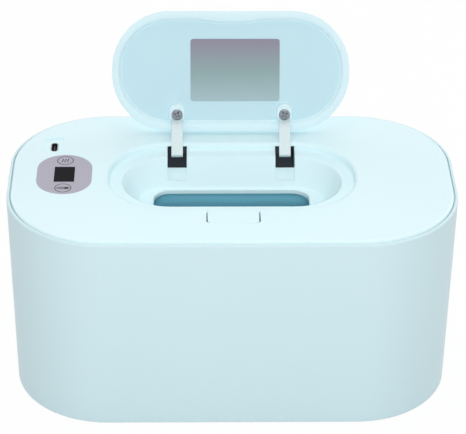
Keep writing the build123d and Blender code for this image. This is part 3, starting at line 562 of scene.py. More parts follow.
FINISHES: dict[Slot, Plastic | Metal | FilmWithPaintedReflection] = {
    # ABS moulded in a satin-textured tool: pale aqua, a broad soft highlight, no sparkle; the cover's ABS
    # painted a shade darker, as painted shade on the casing's upright walls
    Slot.SHELL: Plastic("satin_abs_shell_painted_shade", "#D5EDF1", "#D1EAEF", roughness=0.42, drift_mm=70.0),
    # the casing's ABS from a finer tool, so the cover is a touch glossier; it is painted lighter than the
    # casing for the light that falls on its top
    Slot.COVER: Plastic("fine_abs_cover_painted_light", "#E4FAFE", "#E0F8FC", roughness=0.34, drift_mm=70.0),
    # the cover's ABS in the thin lid
    Slot.LID: Plastic("fine_abs_lid", "#E2F8FD", "#DEF5FB", roughness=0.36, drift_mm=50.0),
    # ABS from an eroded tool, matt and a shade greyer than the casing that it closes
    Slot.BASE: Plastic(
        "eroded_abs_base", "#CFE0E3", "#C9DBDE", roughness=0.6, grain_mm=0.8, grain_depth_mm=0.02
    ),
    # polypropylene tub: waxy sky blue, which deepens to teal where its walls light each other
    Slot.TUB: Plastic("polypropylene_tub", "#9BEBFF", "#97E8FE", roughness=0.45, drift_mm=30.0),
    # moulded silicone rubber: grey, dull and slightly dusty at grazing angles
    Slot.SILICONE: Plastic(
        "moulded_silicone", "#AEB8BC", "#A5B0B4", roughness=0.7, ior=1.41, sheen=0.15
    ),
    # neoprene pads under the arms: slate grey, dull, finely pitted; the same finish colours the dark bands of
    # painted shade in the arm wells
    Slot.PAD: Plastic(
        "neoprene_pad",
        "#646C75",
        "#5C646D",
        roughness=0.85,
        drift_mm=5.0,
        grain_mm=0.5,
        grain_depth_mm=0.03,
        wave_depth_mm=0.0,
        specular=0.25,
    ),
    # closed-cell polyethylene foam: open-looking skin with cells of about a millimetre
    Slot.FOAM: Plastic(
        "closed_cell_foam",
        "#E6E8E8",
        "#D3D7D8",
        roughness=0.9,
        drift_mm=8.0,
        grain_mm=1.1,
        grain_depth_mm=0.12,
        wave_depth_mm=0.1,
        specular=0.3,
    ),
    # moulded epoxy of small parts, black and half matt; the keys' print shares it
    Slot.COMPONENT: Plastic(
        "moulded_epoxy", "#17181B", "#1D1E22", roughness=0.5, drift_mm=4.0, grain_mm=0.15
    ),
    # nylon connector housing, cream and faintly marbled
    Slot.CONNECTOR: Plastic("nylon_housing", "#EAE6D6", "#E0DBC9", roughness=0.45, drift_mm=5.0),
    # glass-epoxy board under green solder mask, its weave just felt in the gloss
    Slot.BOARD: Plastic(
        "solder_masked_board",
        "#0F5F38",
        "#0B4F2D",
        roughness=0.3,
        drift_mm=6.0,
        grain_mm=0.5,
        grain_depth_mm=0.006,
    ),
    # polyimide heater film: amber, glossy, crinkled where it was pressed down
    Slot.FILM: Plastic(
        "polyimide_film",
        "#C47A2C",
        "#AE651E",
        roughness=0.25,
        drift_mm=6.0,
        grain_mm=1.2,
        grain_depth_mm=0.02,
        wave_depth_mm=0.05,
    ),
    # silicone-jacketed lead, dark red and soft
    Slot.LEAD: Plastic("silicone_jacket", "#A4221C", "#8D1A15", roughness=0.5, drift_mm=4.0),
    # acetal slider: hard, slippery and slightly grey
    Slot.LATCH: Plastic("moulded_acetal", "#D6E3E6", "#CFDDE0", roughness=0.35, drift_mm=10.0),
    # smoked acrylic window: nearly black, its shine damped by a hard anti-glare finish
    Slot.DISPLAY: Plastic(
        "smoked_acrylic",
        "#0D0B12",
        "#0A090E",
        roughness=0.35,
        drift_mm=9.0,
        grain_mm=0.25,
        grain_depth_mm=0.001,
        wave_depth_mm=0.0,
        specular=0.05,
        ior=1.49,
    ),
    # screen-printed polyester film over the keys: lavender grey with a satin laminate
    Slot.OVERLAY: Plastic(
        "printed_polyester",
        "#B3AFBD",
        "#AEAAB8",
        roughness=0.45,
        drift_mm=14.0,
        grain_mm=0.5,
        grain_depth_mm=0.003,
        wave_depth_mm=0.0,
        specular=0.35,
    ),
    # satin silver label stock; its run from sea grey below to lilac above is a painted reflection in the
    # satin film
    Slot.LABEL: FilmWithPaintedReflection(
        "satin_label_painted_reflection",
        low="#AAC2C7",
        middle="#95ACAD",
        high="#958E9F",
        bottom_mm=129.0,
        top_mm=157.0,
    ),
    # nickel-plated steel screws, bright where the driver has not been
    Slot.SCREW: Metal("nickel_plated_steel", "#9CA1A8", "#868B92", roughness=0.2, mark_depth_mm=0.004),
    # ground steel pins: bright, their fine marks lying along them
    Slot.PIN: Metal(
        "ground_steel",
        "#B6B7B8",
        "#A6A7A9",
        roughness=0.22,
        mark_mm=(0.8, 0.06, 0.06),
        mark_depth_mm=0.001,
    ),
    # drawn music wire: smooth, darker than plate
    Slot.SPRING: Metal(
        "drawn_spring_wire",
        "#9A9CA0",
        "#85878B",
        roughness=0.3,
        mark_mm=(0.1, 0.1, 0.1),
        mark_depth_mm=0.001,
    ),
    # steel strip, zinc plated and tumbled: pale grey, frosted, with a fine grit
    Slot.ARM: Metal(
        "tumbled_zinc_plate",
        "#D9E6E8",
        "#CEDBDE",
        roughness=0.6,
        mark_mm=(0.5, 0.5, 0.5),
        mark_depth_mm=0.05,
    ),
    # tin-plated socket shell: grey and half bright, its fine marks upright
    Slot.INLET: Metal(
        "tin_plated_steel",
        "#B8BABD",
        "#A4A7AA",
        roughness=0.3,
        mark_mm=(0.3, 0.3, 1.5),
        mark_depth_mm=0.002,
    ),
    # rolled aluminium plate, its rolling marks running the long way
    Slot.HEATER: Metal(
        "rolled_aluminium", "#CDD0D2", "#BEC2C5", roughness=0.35, mark_mm=(5.0, 0.15, 0.15)
    ),
}


# the panel inside the lid's rim: the lid's ABS painted darker and more strongly tinted, as painted shade on
# the floor inside the rim; its matt tool makes it duller
LID_FLOOR_SHADE = Plastic("lid_floor_abs_painted_shade", "#CCEAF2", "#C8E7F0", roughness=0.5, drift_mm=50.0)


class Palette:
    """The materials by slot, each made the first time that it is asked for."""

    def __init__(self) -> None:
        """Starts with none made."""
        self.made: dict[Slot, bpy.types.Material] = {}

    def get(self, slot: Slot) -> bpy.types.Material:
        """Gives the material of a slot.

        Args:
            slot: The slot.

        Returns:
            Its material, the same one each time.
        """
        if slot not in self.made:
            self.made[slot] = FINISHES[slot].build()
        return self.made[slot]


@dataclass
class Workshop:
    """Turns shapes and CAD nodes into dressed pieces that ride on their bodies."""

    palette: Palette
    weld_mm: float = 0.002

    def finish(
        self,
        mesh: bpy.types.Mesh,
        name: str,
        body: str,
        slot: Slot,
        nodes: Sequence[str],
        crease: float,
    ) -> bpy.types.Object:
        """Makes a mesh a piece of a body.

        Args:
            mesh: The mesh, in metres.
            name: The piece's name.
            body: The body that it rides on.
            slot: Its material slot.
            nodes: The CAD nodes that it stands for.
            crease: The largest turn in degrees that is shaded smooth.

        Returns:
            The piece.
        """
        finished = bpy.data.objects.new(name, mesh)
        bpy.context.scene.collection.objects.link(finished)
        mesh.materials.clear()
        mesh.materials.append(self.palette.get(slot))
        normals = corner_normals(mesh, crease)
        mesh.shade_smooth()
        mesh.normals_split_custom_set(normals.tolist())
        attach(finished, body)
        if nodes:
            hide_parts(*nodes)
        LOG.info("%s: %d faces, on %s", name, len(mesh.polygons), body)
        return finished

    def piece(
        self,
        shape: Shape,
        name: str,
        body: str,
        slot: Slot,
        nodes: Sequence[str] = (),
        crease: float = 38.0,
    ) -> bpy.types.Object:
        """Makes a shape a piece of a body.

        Args:
            shape: The shape, in millimetres.
            name: The piece's name.
            body: The body that it rides on.
            slot: Its material slot.
            nodes: The CAD nodes that it stands for.
            crease: The largest turn in degrees that is shaded smooth.

        Returns:
            The piece.
        """
        mesh = bpy.data.meshes.new(name)
        mesh.from_pydata((shape.points * MM).tolist(), [], shape.quads.tolist() + shape.caps)
        self.weld(mesh)
        return self.finish(mesh, name, body, slot, nodes, crease)

    def weld(self, mesh: bpy.types.Mesh) -> None:
        """Joins the vertices that lie on each other and drops the faces that this empties.

        Args:
            mesh: The mesh, in metres.
        """
        work = bmesh.new()
        work.from_mesh(mesh)
        bmesh.ops.remove_doubles(work, verts=work.verts, dist=self.weld_mm * MM)
        work.to_mesh(mesh)
        work.free()

    def copy(self, node: str, body: str, slot: Slot, crease: float = 32.0) -> bpy.types.Object:
        """Makes a smooth-shaded piece of a CAD node, its loose triangles joined up.

        Args:
            node: The node's name.
            body: The body that it rides on.
            slot: Its material slot.
            crease: The largest turn in degrees that is shaded smooth.

        Returns:
            The piece, named after its node.
        """
        mesh = frame["nodes"][node].data.copy()
        self.weld(mesh)
        mesh.name = node + "_form"
        return self.finish(mesh, node + "_form", body, slot, (node,), crease)


# ---------------------------------------------------------------- forms that several pieces use


def swept(
    outline: RoundedOutline,
    corners: Sequence[tuple[float, float, float]],
    closed: bool,
    steps: int,
) -> Shape:
    """Carries a profile round an outline: each of its points becomes the ring at its inset and
    its height.

    Args:
        outline: The outline in plan.
        corners: The profile's corners, each an inset, a height and the radius that rounds it.
        closed: Whether the profile joins up; if not, flat faces close its two ends.
        steps: Steps in each arc of the profile.

    Returns:
        The shape, facing outwards.
    """
    points, radii = [corner[:2] for corner in corners], [corner[2] for corner in corners]
    path = rounded_path(points, radii, closed, steps)
    rings = outline.rings(path[:, 0], path[:, 1])
    return grid_shape(rings, wrap_rows=closed, first_cap=not closed, last_cap=not closed)


def tube(
    centre: tuple[float, float], outer: float, inner: float, low: float, high: float, soft: float
) -> Shape:
    """An upright round tube: a rectangle with soft corners carried round its axis.

    Args:
        centre: Its axis, in plan.
        outer: Its outer radius.
        inner: The radius of its bore.
        low: The height of its lower end.
        high: The height of its upper end.
        soft: The radius of its edges.

    Returns:
        The tube.
    """
    circle = RoundedOutline(outer, outer, outer, centre, arc_steps=12, run_steps=1)
    wall = outer - inner
    corners = [(0, low, soft), (0, high, soft), (wall, high, soft), (wall, low, soft)]
    return swept(circle, corners, closed=True, steps=3)


def slab(outline: RoundedOutline, low: float, high: float, soft: float, steps: int = 3) -> Shape:
    """A plate with soft upper and lower edges: a C-shaped profile carried round its outline.

    Args:
        outline: The outline in plan.
        low: The height of its underside.
        high: The height of its top.
        soft: The radius of its edges.
        steps: Steps in the arc of an edge.

    Returns:
        The plate.
    """
    inside = min(outline.corner, 2 * soft + FLAT_MARGIN)
    corners = [(inside, low, 0), (0, low, soft), (0, high, soft), (inside, high, 0)]
    return swept(outline, corners, closed=False, steps=steps)


def ribbon(path: Array, width: float, low: float, high: float) -> Shape:
    """An upright band along a path: each point goes half the width to both sides along the
    path's normal, and that loop is drawn at two heights.

    Args:
        path: The path in plan, an array of K by 2.
        width: The width of the band.
        low: The height of its underside.
        high: The height of its top.

    Returns:
        The band.
    """
    along = np.gradient(path, axis=0)
    along /= np.linalg.norm(along, axis=1, keepdims=True)
    side = np.stack([-along[:, 1], along[:, 0]], axis=1) * width / 2
    loop = np.concatenate([path + side, (path - side)[::-1]])
    rows = [np.column_stack([loop, np.full(len(loop), level)]) for level in (low, high)]
    return grid_shape(np.stack(rows), first_cap=True, last_cap=True)


# ---------------------------------------------------------------- the base


@dataclass
class Casing:
    """The moulded casing, its tub, and what closes and carries it.

    A profile's points are given by their inset from the rim's outline and their height, and the
    tub's profile ends at flat faces at the inset tub_middle.
    """

    length: float = 230.0
    width: float = 132.0
    corner: float = 51.0
    rim: float = 110.0
    foot: float = 1.0
    draft: float = math.tan(math.radians(1.0))
    wall: float = 2.6
    rim_lip: float = 1.5
    rim_round: float = 1.2
    lip_round: float = 0.15
    foot_round: float = 0.5
    inner_foot_round: float = 0.3
    step_round: float = 0.2
    seat: float = 108.5
    seat_inset: float = 6.5
    seat_bottom: float = 103.5
    ledge_top: float = 81.8
    ledge_bottom: float = 79.3
    ledge_inset: float = 8.6
    boss_low: float = 4.2
    boss_high: float = 14.2
    boss_outer: float = 4.5
    boss_inner: float = 1.3
    boss_round: float = 0.2
    boss_reach: float = 43.1
    tub_top: float = 84.0
    tub_bottom: float = 16.0
    tub_inset: float = 9.0
    tub_wall: float = 2.0
    tub_flange: float = 2.0
    tub_flange_inset: float = 3.6
    tub_flange_round: float = 0.3
    tub_mouth_round: float = 1.2
    tub_foot_round: float = 5.0
    tub_floor_round: float = 6.0
    tub_middle: float = 45.0
    ring_inset: float = 14.1
    ring_width: float = 5.8
    ring_top: float = 2.4
    ring_foot_round: float = 0.9
    ring_top_round: float = 0.1

    def outline(self) -> RoundedOutline:
        """The rim's outline in plan."""
        return RoundedOutline(self.length / 2, self.width / 2, self.corner, arc_steps=40, run_steps=8)

    def drafted(self, height: float) -> float:
        """How far the outer wall has moved in at a height."""
        return (self.rim - height) * self.draft

    def shell(self) -> Shape:
        """The casing: one closed profile of wall, rim, step, seat and tub ledge, carried round the
        outline, and four screw bosses.

        Returns:
            The casing with its bosses.
        """
        corners = [
            (self.drafted(self.foot), self.foot, self.foot_round),
            (0.0, self.rim, self.rim_round),
            (self.rim_lip, self.rim, self.lip_round),
            (self.rim_lip, self.seat, 0.0),
            (self.seat_inset, self.seat, self.step_round),
            (self.seat_inset, self.seat_bottom, self.step_round),
            (self.wall + self.drafted(self.seat_bottom), self.seat_bottom, 0.0),
            (self.wall + self.drafted(self.ledge_top), self.ledge_top, 0.0),
            (self.ledge_inset, self.ledge_top, self.step_round),
            (self.ledge_inset, self.ledge_bottom, self.step_round),
            (self.wall + self.drafted(self.ledge_bottom), self.ledge_bottom, 0.0),
            (self.wall + self.drafted(self.foot), self.foot, self.inner_foot_round),
        ]
        wall = swept(self.outline(), corners, closed=True, steps=6)
        reach = self.boss_reach * math.sqrt(0.5)
        x, y = self.length / 2 - self.corner + reach, self.width / 2 - self.corner + reach
        section = (self.boss_outer, self.boss_inner, self.boss_low, self.boss_high, self.boss_round)
        bosses = [tube((sx * x, sy * y), *section) for sx in (-1, 1) for sy in (-1, 1)]
        return wall.joined(*bosses)

    def tub(self) -> Shape:
        """The tub: a profile from the middle of its underside out, up, over the flange and back
        inside, carried round the outline.

        Returns:
            The tub.
        """
        depth = self.tub_top - self.tub_bottom
        inner = self.tub_inset + self.tub_wall
        flange_low = self.tub_top - self.tub_flange
        floor = self.tub_bottom + self.tub_wall
        corners = [
            (self.tub_middle, self.tub_bottom, 0.0),
            (self.tub_inset + depth * self.draft, self.tub_bottom, self.tub_foot_round),
            (self.tub_inset, flange_low, self.tub_flange_round),
            (self.tub_flange_inset, flange_low, self.tub_flange_round),
            (self.tub_flange_inset, self.tub_top, self.tub_flange_round),
            (inner, self.tub_top, self.tub_mouth_round),
            (inner + (depth - self.tub_wall) * self.draft, floor, self.tub_floor_round),
            (self.tub_middle, floor, 0.0),
        ]
        return swept(self.outline(), corners, closed=False, steps=8)

    def foot_ring(self) -> Shape:
        """The anti-slip ring: a rectangle carried round the outline, its lower edges rounded
        where it meets the table.

        Returns:
            The ring.
        """
        left, right = self.ring_inset, self.ring_inset + self.ring_width
        corners = [
            (left, 0.0, self.ring_foot_round),
            (left, self.ring_top, self.ring_top_round),
            (right, self.ring_top, self.ring_top_round),
            (right, 0.0, self.ring_foot_round),
        ]
        return swept(self.outline(), corners, closed=True, steps=5)

    def build(self, workshop: Workshop) -> None:
        """Makes and dresses the base's pieces.

        Args:
            workshop: What makes them.
        """
        workshop.piece(self.shell(), "casing", "base", Slot.SHELL, ["body_shell"])
        workshop.piece(self.tub(), "wipes_tub", "base", Slot.TUB, ["inner_tub"])
        workshop.piece(self.foot_ring(), "foot_ring", "base", Slot.SILICONE, ["anti_slip_ring"])
        workshop.copy("base_plate", "base", Slot.BASE)
        workshop.copy("insulation_sleeve", "base", Slot.FOAM)
        workshop.copy("base_screws", "base", Slot.SCREW)


# ---------------------------------------------------------------- the cover


@dataclass
class Cover:
    """The lift-off cover with the dish, the heater, the keys and the power inlet."""

    panel_top: float = 111.2
    ink: float = 0.02
    line: float = 0.44
    key_radius: float = 4.3
    warm_key: tuple[float, float] = (-86.4, 15.6)
    wave_steps: tuple[float, ...] = (-1.35, 0.0, 1.35)
    wave_swing: float = 0.36
    wave_half: float = 1.75
    level_key: tuple[float, float] = (-86.5, -12.2)
    stem_half: tuple[float, float] = (3.1, 1.1)
    bulb_radius: float = 0.95
    bulb_step: float = 1.75
    column_steps: tuple[float, ...] = (-1.9, 0.0, 1.2)
    # the arm wells, and the thin dark bands of painted shade (liner) that stand on their upright sides
    well_x: float = 28.4
    well_half: float = 4.9
    well_front: float = 33.2
    well_back: float = 53.2
    well_low: float = 93.62
    well_high: float = 105.0
    liner: float = 0.3
    shade_band_round: float = 0.8
    nodes: tuple[tuple[str, Slot], ...] = (
        ("top_panel", Slot.COVER),
        ("cover_underplate", Slot.COVER),
        ("underplate_screws", Slot.SCREW),
        ("tub_gasket", Slot.SILICONE),
        ("heater_plate", Slot.HEATER),
        ("heater_film", Slot.FILM),
        ("heater_screws", Slot.SCREW),
        ("thermostat", Slot.COMPONENT),
        ("temperature_sensor", Slot.COMPONENT),
        ("control_board", Slot.BOARD),
        ("board_screws", Slot.SCREW),
        ("control_chip", Slot.COMPONENT),
        ("lead_connector", Slot.CONNECTOR),
        ("heater_leads", Slot.LEAD),
        ("display_module", Slot.COMPONENT),
        ("display_lens", Slot.DISPLAY),
        ("control_overlay", Slot.OVERLAY),
        ("touch_springs", Slot.SPRING),
        ("inlet_shell", Slot.INLET),
        ("inlet_tongue", Slot.COMPONENT),
        ("hinge_pin_left", Slot.PIN),
        ("hinge_pin_right", Slot.PIN),
        ("lid_spring_left", Slot.SPRING),
        ("lid_spring_right", Slot.SPRING),
        ("latch_spring", Slot.SPRING),
        ("arm_pads", Slot.PAD),
    )

    def ink_levels(self) -> tuple[float, float]:
        """The heights of the print's underside, sunk in the panel, and of its top."""
        return (self.panel_top - self.ink, self.panel_top + self.ink)

    def ring_mark(self, centre: tuple[float, float], half_x: float, half_y: float) -> Shape:
        """A printed line round a circle or a stadium: a thin rectangle carried round it.

        Args:
            centre: Its middle.
            half_x: Half its length, to the line's outer edge.
            half_y: Half its width, to the line's outer edge.

        Returns:
            The printed line.
        """
        corner = min(half_x, half_y)
        outline = RoundedOutline(half_x, half_y, corner, centre, arc_steps=16, run_steps=2)
        low, high = self.ink_levels()
        corners = [(0, low, 0), (0, high, 0), (self.line, high, 0), (self.line, low, 0)]
        return swept(outline, corners, closed=True, steps=1)

    def warm_mark(self) -> Shape:
        """The warming key: a ring round three waves of heat, whose X swings as a sine along Y.

        Returns:
            The key's print.
        """
        x, y = self.warm_key
        along = np.linspace(-1.0, 1.0, 25)
        across = self.wave_swing * np.sin(along * np.pi)
        paths = [np.column_stack([x + step + across, y + self.wave_half * along]) for step in self.wave_steps]
        waves = [ribbon(path, self.line, *self.ink_levels()) for path in paths]
        return self.ring_mark(self.warm_key, self.key_radius, self.key_radius).joined(*waves)

    def level_mark(self) -> Shape:
        """The level key: a ring round a thermometer that lies on its side, which is a stadium
        with a bulb at one end and a line for its column.

        Returns:
            The key's print.
        """
        x, y = self.level_key
        radius = self.bulb_radius
        place = (x + self.bulb_step, y)
        bulb_outline = RoundedOutline(radius, radius, radius, place, arc_steps=8, run_steps=1)
        bulb = slab(bulb_outline, *self.ink_levels(), self.ink / 2, steps=1)
        path = np.array([(x + step, y) for step in self.column_steps])
        column = ribbon(path, self.line, *self.ink_levels())
        ring = self.ring_mark(self.level_key, self.key_radius, self.key_radius)
        return ring.joined(self.ring_mark((x, y), *self.stem_half), bulb, column)

    def well_shade_band(self, side: int) -> Shape:
        """A dark band of painted shade on the upright sides of the well that an arm folds down
        into: a band bent to a U in plan, open to the front.

        Args:
            side: -1 for the left well, 1 for the right.

        Returns:
            The liner.
        """
        left, right = side * self.well_x - self.well_half, side * self.well_x + self.well_half
        corners = [
            (left, self.well_front),
            (left, self.well_back),
            (right, self.well_back),
            (right, self.well_front),
        ]
        path = rounded_path(corners, [0.0, self.shade_band_round, self.shade_band_round, 0.0], closed=False)
        return ribbon(path, self.liner, self.well_low, self.well_high)

    def build(self, workshop: Workshop) -> None:
        """Makes and dresses the cover's pieces.

        Args:
            workshop: What makes them.
        """
        for node, slot in self.nodes:
            workshop.copy(node, "cover", slot)
        # dark bands that stand in for the shade inside the arm wells
        shade_bands = self.well_shade_band(-1).joined(self.well_shade_band(1))
        workshop.piece(shade_bands, "arm_well_shade_bands", "cover", Slot.PAD)
        workshop.piece(self.warm_mark(), "warm_key_print", "cover", Slot.COMPONENT)
        workshop.piece(self.level_mark(), "level_key_print", "cover", Slot.COMPONENT)


# ---------------------------------------------------------------- the lid


@dataclass(frozen=True)
class CrossScrew:
    """A pan-head screw with a cross recess and a plain shank, its axis upright and its seat at
    zero."""

    radius: float = 2.9
    height: float = 1.5
    crown_fall: float = 0.16
    edge_fall: float = 0.42
    edge_slope: float = 3.2
    edge_power: float = 2.2
    recess_radius: float = 2.1
    recess_depth: float = 1.15
    slot_half: float = 0.52
    slot_taper: float = 0.1
    slot_side: float = 0.16
    shank_radius: float = 1.0
    shank_length: float = 3.8
    recess_rings: tuple[float, float, int] = (0.02, 1.9, 20)
    edge_rings: tuple[float, int] = (2.05, 12)
    facets: int = 96

    def shape(self, turn_degrees: float) -> Shape:
        """Works the screw out as rings about its axis.

        The head's height falls a little with the square of the radius and then steeply at its
        edge. Where a point lies close to one of two crossed lines it sinks by the recess's depth,
        which falls off with the square of the radius, and a smooth step leads down to it.

        Args:
            turn_degrees: How far the cross is turned about the axis.

        Returns:
            The screw.
        """
        edge_start, edge_count = self.edge_rings
        radii = np.concatenate(
            [np.linspace(*self.recess_rings), np.linspace(edge_start, self.radius, edge_count)]
        )
        angles = np.linspace(0, 2 * np.pi, self.facets, endpoint=False)
        share = radii / self.radius
        edge = np.clip(share * self.edge_slope - (self.edge_slope - 1), 0, 1) ** self.edge_power
        dome = self.height * (1 - self.crown_fall * share**2 - self.edge_fall * edge)
        turned = angles + math.radians(turn_degrees)
        x, y = radii[:, None] * np.cos(turned), radii[:, None] * np.sin(turned)
        near = np.minimum(np.abs(x), np.abs(y))
        half = self.slot_half - self.slot_taper * radii[:, None]
        slot = np.clip((half - near) / self.slot_side, 0, 1)
        slot = slot * slot * (3 - 2 * slot)
        depth = self.recess_depth * np.clip(1 - (radii / self.recess_radius) ** 2, 0, None)[:, None]
        profile = [
            (self.radius, 0.0),
            (self.shank_radius, 0.0),
            (self.shank_radius, -self.shank_length),
        ]
        across = np.concatenate([radii, [radius for radius, _ in profile]])[:, None]
        heights = [dome[:, None] - slot * depth, *(np.full((1, self.facets), z) for _, z in profile)]
        rows = [across * np.cos(angles), across * np.sin(angles), np.concatenate(heights)]
        return grid_shape(np.stack(rows, axis=2), first_cap=True, last_cap=True)


@dataclass
class Lid:
    """The sprung lid, drawn open: its shell, a panel of painted shade inside its rim, label plate, hinge arms
    and screws.

    Its own plane has X along the warmer, Y from the hinge edge to the free edge and Z out of the
    inner face, with the rim at zero. A profile's points are given by their inset from the lid's
    outline and their Z, and the profiles end at flat faces at the inset middle.
    """

    half_length: float = 62.7
    width: float = 63.4
    corner: float = 30.5
    thick: float = 5.0
    middle: float = 28.5
    edge_round: float = 2.0
    rim_slope: float = 1.3
    rim_crest: float = 3.3
    rim_foot: float = 4.6
    rim_rounds: tuple[float, float, float] = (4.5, 2.0, 1.3)
    rim_extra: float = 0.5
    floor: float = -2.5
    bulge_half: float = 17.5
    bulge_depth: float = 1.5
    notch_half: float = 14.9
    notch_depth: float = 0.9
    notch_rim: float = -0.5
    notch_end: float = -1.9
    closed_edge: tuple[float, float] = (32.4, 107.7)
    arm_x: float = 28.4
    boss_place: float = 9.55
    boss_half: tuple[float, float] = (4.4, 5.35)
    boss_corner: float = 4.3
    boss_top: float = 2.2
    boss_middle: float = 3.6
    boss_draft: float = 0.25
    boss_flare: float = 0.9
    boss_round: float = 0.9
    boss_sink: float = 0.1
    panel_inset: float = 4.9
    panel_thick: float = 0.12
    panel_round: float = 0.04
    panel_sink: float = 0.05
    label_half: tuple[float, float] = (23.6, 16.55)
    label_centre: tuple[float, float] = (2.3, 32.2)
    label_corner: float = 1.5
    label_thick: float = 0.3
    label_round: float = 0.08
    arm_half: float = 3.0
    arm_thick: float = 1.0
    arm_edge_round: float = 0.22
    arm_tip_place: float = 12.0
    arm_bend_place: float = 5.0
    bend_round: float = 2.0
    elbow_reach: float = 12.9
    elbow_drop: float = 0.9
    elbow_round: float = 0.6
    nose_start: float = 0.02
    eye_outer: float = 2.3
    eye_inner: float = 1.15
    eye_round: float = 0.15
    eye_lap: float = 0.4
    screw: CrossScrew = CrossScrew()
    screw_place: float = 9.1
    screw_turns: tuple[float, float] = (24.0, 58.0)
    screw_crease: float = 50.0
    pivot: Array = field(init=False)
    origin: Array = field(init=False)
    axes: Array = field(init=False)

    def __post_init__(self) -> None:
        """Takes the pivot and the opening angle from the frame's hinge, and turns the lid's own
        plane about that pivot from its closed place."""
        hinge = next(joint for joint in frame["joints"] if joint["name"] == "lid_hinge")
        self.pivot = np.array(hinge["pos_m"][1:]) / MM
        angle = math.radians(hinge["range_deg"][1])
        cos, sin = math.cos(angle), math.sin(angle)
        turn = np.array([(cos, -sin), (sin, cos)])
        self.origin = self.pivot + (np.array(self.closed_edge) - self.pivot) @ turn
        self.axes = np.array([(1.0, 0.0, 0.0), (0.0, -cos, sin), (0.0, -sin, -cos)])

    def opened(self, shape: Shape) -> Shape:
        """Moves a shape from the lid's own plane to its open place."""
        return shape.placed((0.0, *self.origin), self.axes)

    def in_side_view(self, place: float, height: float) -> tuple[float, float]:
        """The warmer's Y and Z of a place along the lid and a height off its rim."""
        point = self.origin + place * self.axes[1, 1:] + height * self.axes[2, 1:]
        return (float(point[0]), float(point[1]))

    def outline(self) -> RoundedOutline:
        """The outline in the lid's own plane, from the hinge edge on."""
        half, centre = self.width / 2, (0.0, self.width / 2)
        return RoundedOutline(self.half_length, half, self.corner, centre, arc_steps=36, run_steps=96)

    def wider(self) -> Array:
        """How much wider the rim is at each place: by the square of how far the outline faces
        along Y, and at the free edge by a parabola too.

        Returns:
            The extra width at each point of the outline.
        """
        core, normals = self.outline().core()
        free = normals[:, 1] > 1 - ROUNDING
        swell = np.where(free, np.clip(1 - (core[:, 0] / self.bulge_half) ** 2, 0, 1), 0.0)
        return self.bulge_depth * swell + self.rim_extra * normals[:, 1] ** 2

    def shell(self) -> Shape:
        """The shell: a profile from the middle of its outer face, round the edge and the rim, to
        the middle of its inner face. The rim is a rounded bead, a little wider along the long
        edges; by the free edge it swells inwards in an arc, and its side has the latch's notch.

        Returns:
            The shell, without its bosses.
        """
        outline = self.outline()
        core, normals = outline.core()
        x = core[:, 0]
        free = normals[:, 1] > 1 - ROUNDING
        notch = np.where(free & (np.abs(x) < self.notch_half), self.notch_depth, 0.0)
        corners = [(self.middle, -self.thick), (0.0, -self.thick), (0.0, self.notch_end)]
        outer = rounded_path(corners, [0, self.edge_round, 0], closed=False, steps=8)
        corners = [
            (0.0, self.notch_rim),
            (self.rim_slope, 0.0),
            (self.rim_crest, 0.0),
            (self.rim_foot, self.floor),
            (self.middle, self.floor),
        ]
        rim = rounded_path(corners, [0, *self.rim_rounds, 0], closed=False, steps=8)
        share = np.clip((rim[:, 0] - self.rim_slope) / (self.rim_crest - self.rim_slope), 0, 1)
        share *= rim[:, 0] < self.rim_foot + self.rim_slope
        inner = rim[:, :1] + share[:, None] * self.wider()[None]
        insets = np.concatenate([np.repeat(outer[:, :1], len(x), axis=1), notch[None], notch[None], inner])
        heights = np.concatenate([outer[:, 1], [self.notch_end, self.notch_rim], rim[:, 1]])
        return grid_shape(outline.rings(insets, heights), first_cap=True, last_cap=True)

    def panel(self) -> Shape:
        """The thin, darker panel laid on the floor inside the rim as painted shade: a C-shaped
        profile whose edge is drawn in by as much as the rim is wider.

        Returns:
            The panel.
        """
        low, high = self.floor - self.panel_sink, self.floor + self.panel_thick
        corners = [(self.middle, low), (self.panel_inset, low), (self.panel_inset, high), (self.middle, high)]
        path = rounded_path(corners, [0, 0, self.panel_round, 0], closed=False, steps=3)
        share = path[:, 0] < self.middle
        insets = path[:, :1] + share[:, None] * self.wider()[None]
        return grid_shape(self.outline().rings(insets, path[:, 1]), first_cap=True, last_cap=True)

    def boss(self, side: int) -> Shape:
        """A screw boss: a stadium that flares into the floor and has a soft top.

        Args:
            side: -1 for the left boss, 1 for the right.

        Returns:
            The boss.
        """
        centre = (side * self.arm_x, self.boss_place)
        outline = RoundedOutline(*self.boss_half, self.boss_corner, centre, arc_steps=14, run_steps=2)
        corners = [
            (-self.boss_flare, self.floor - self.boss_sink, 0.0),
            (0.0, self.floor, self.boss_round),
            (self.boss_draft, self.boss_top, self.boss_round),
            (self.boss_middle, self.boss_top, 0.0),
        ]
        return swept(outline, corners, closed=False, steps=6)

    def label(self) -> Shape:
        """The bare label plate: a slab with its corners and edges softened.

        Returns:
            The plate.
        """
        corner, centre = self.label_corner, self.label_centre
        outline = RoundedOutline(*self.label_half, corner, centre, arc_steps=8, run_steps=1)
        return slab(outline, self.floor, self.floor + self.label_thick, self.label_round)

    def arm_path(self) -> Array:
        """The arm's middle line in the side view: along the lid, down to the elbow and up to the
        eye, its bends rounded.

        Returns:
            An array of K by 2.
        """
        level = self.boss_top + self.arm_thick / 2
        elbow = (float(self.pivot[0]) - self.elbow_reach, float(self.pivot[1]) - self.elbow_drop)
        tip = self.in_side_view(self.arm_tip_place, level)
        bend = self.in_side_view(self.arm_bend_place, level)
        toward = self.pivot - np.array(elbow)
        end = self.pivot - toward / np.linalg.norm(toward) * (self.eye_inner + self.eye_lap)
        corners = [tip, bend, elbow, (float(end[0]), float(end[1]))]
        return rounded_path(corners, [0, self.bend_round, self.elbow_round, 0], closed=False, steps=10)

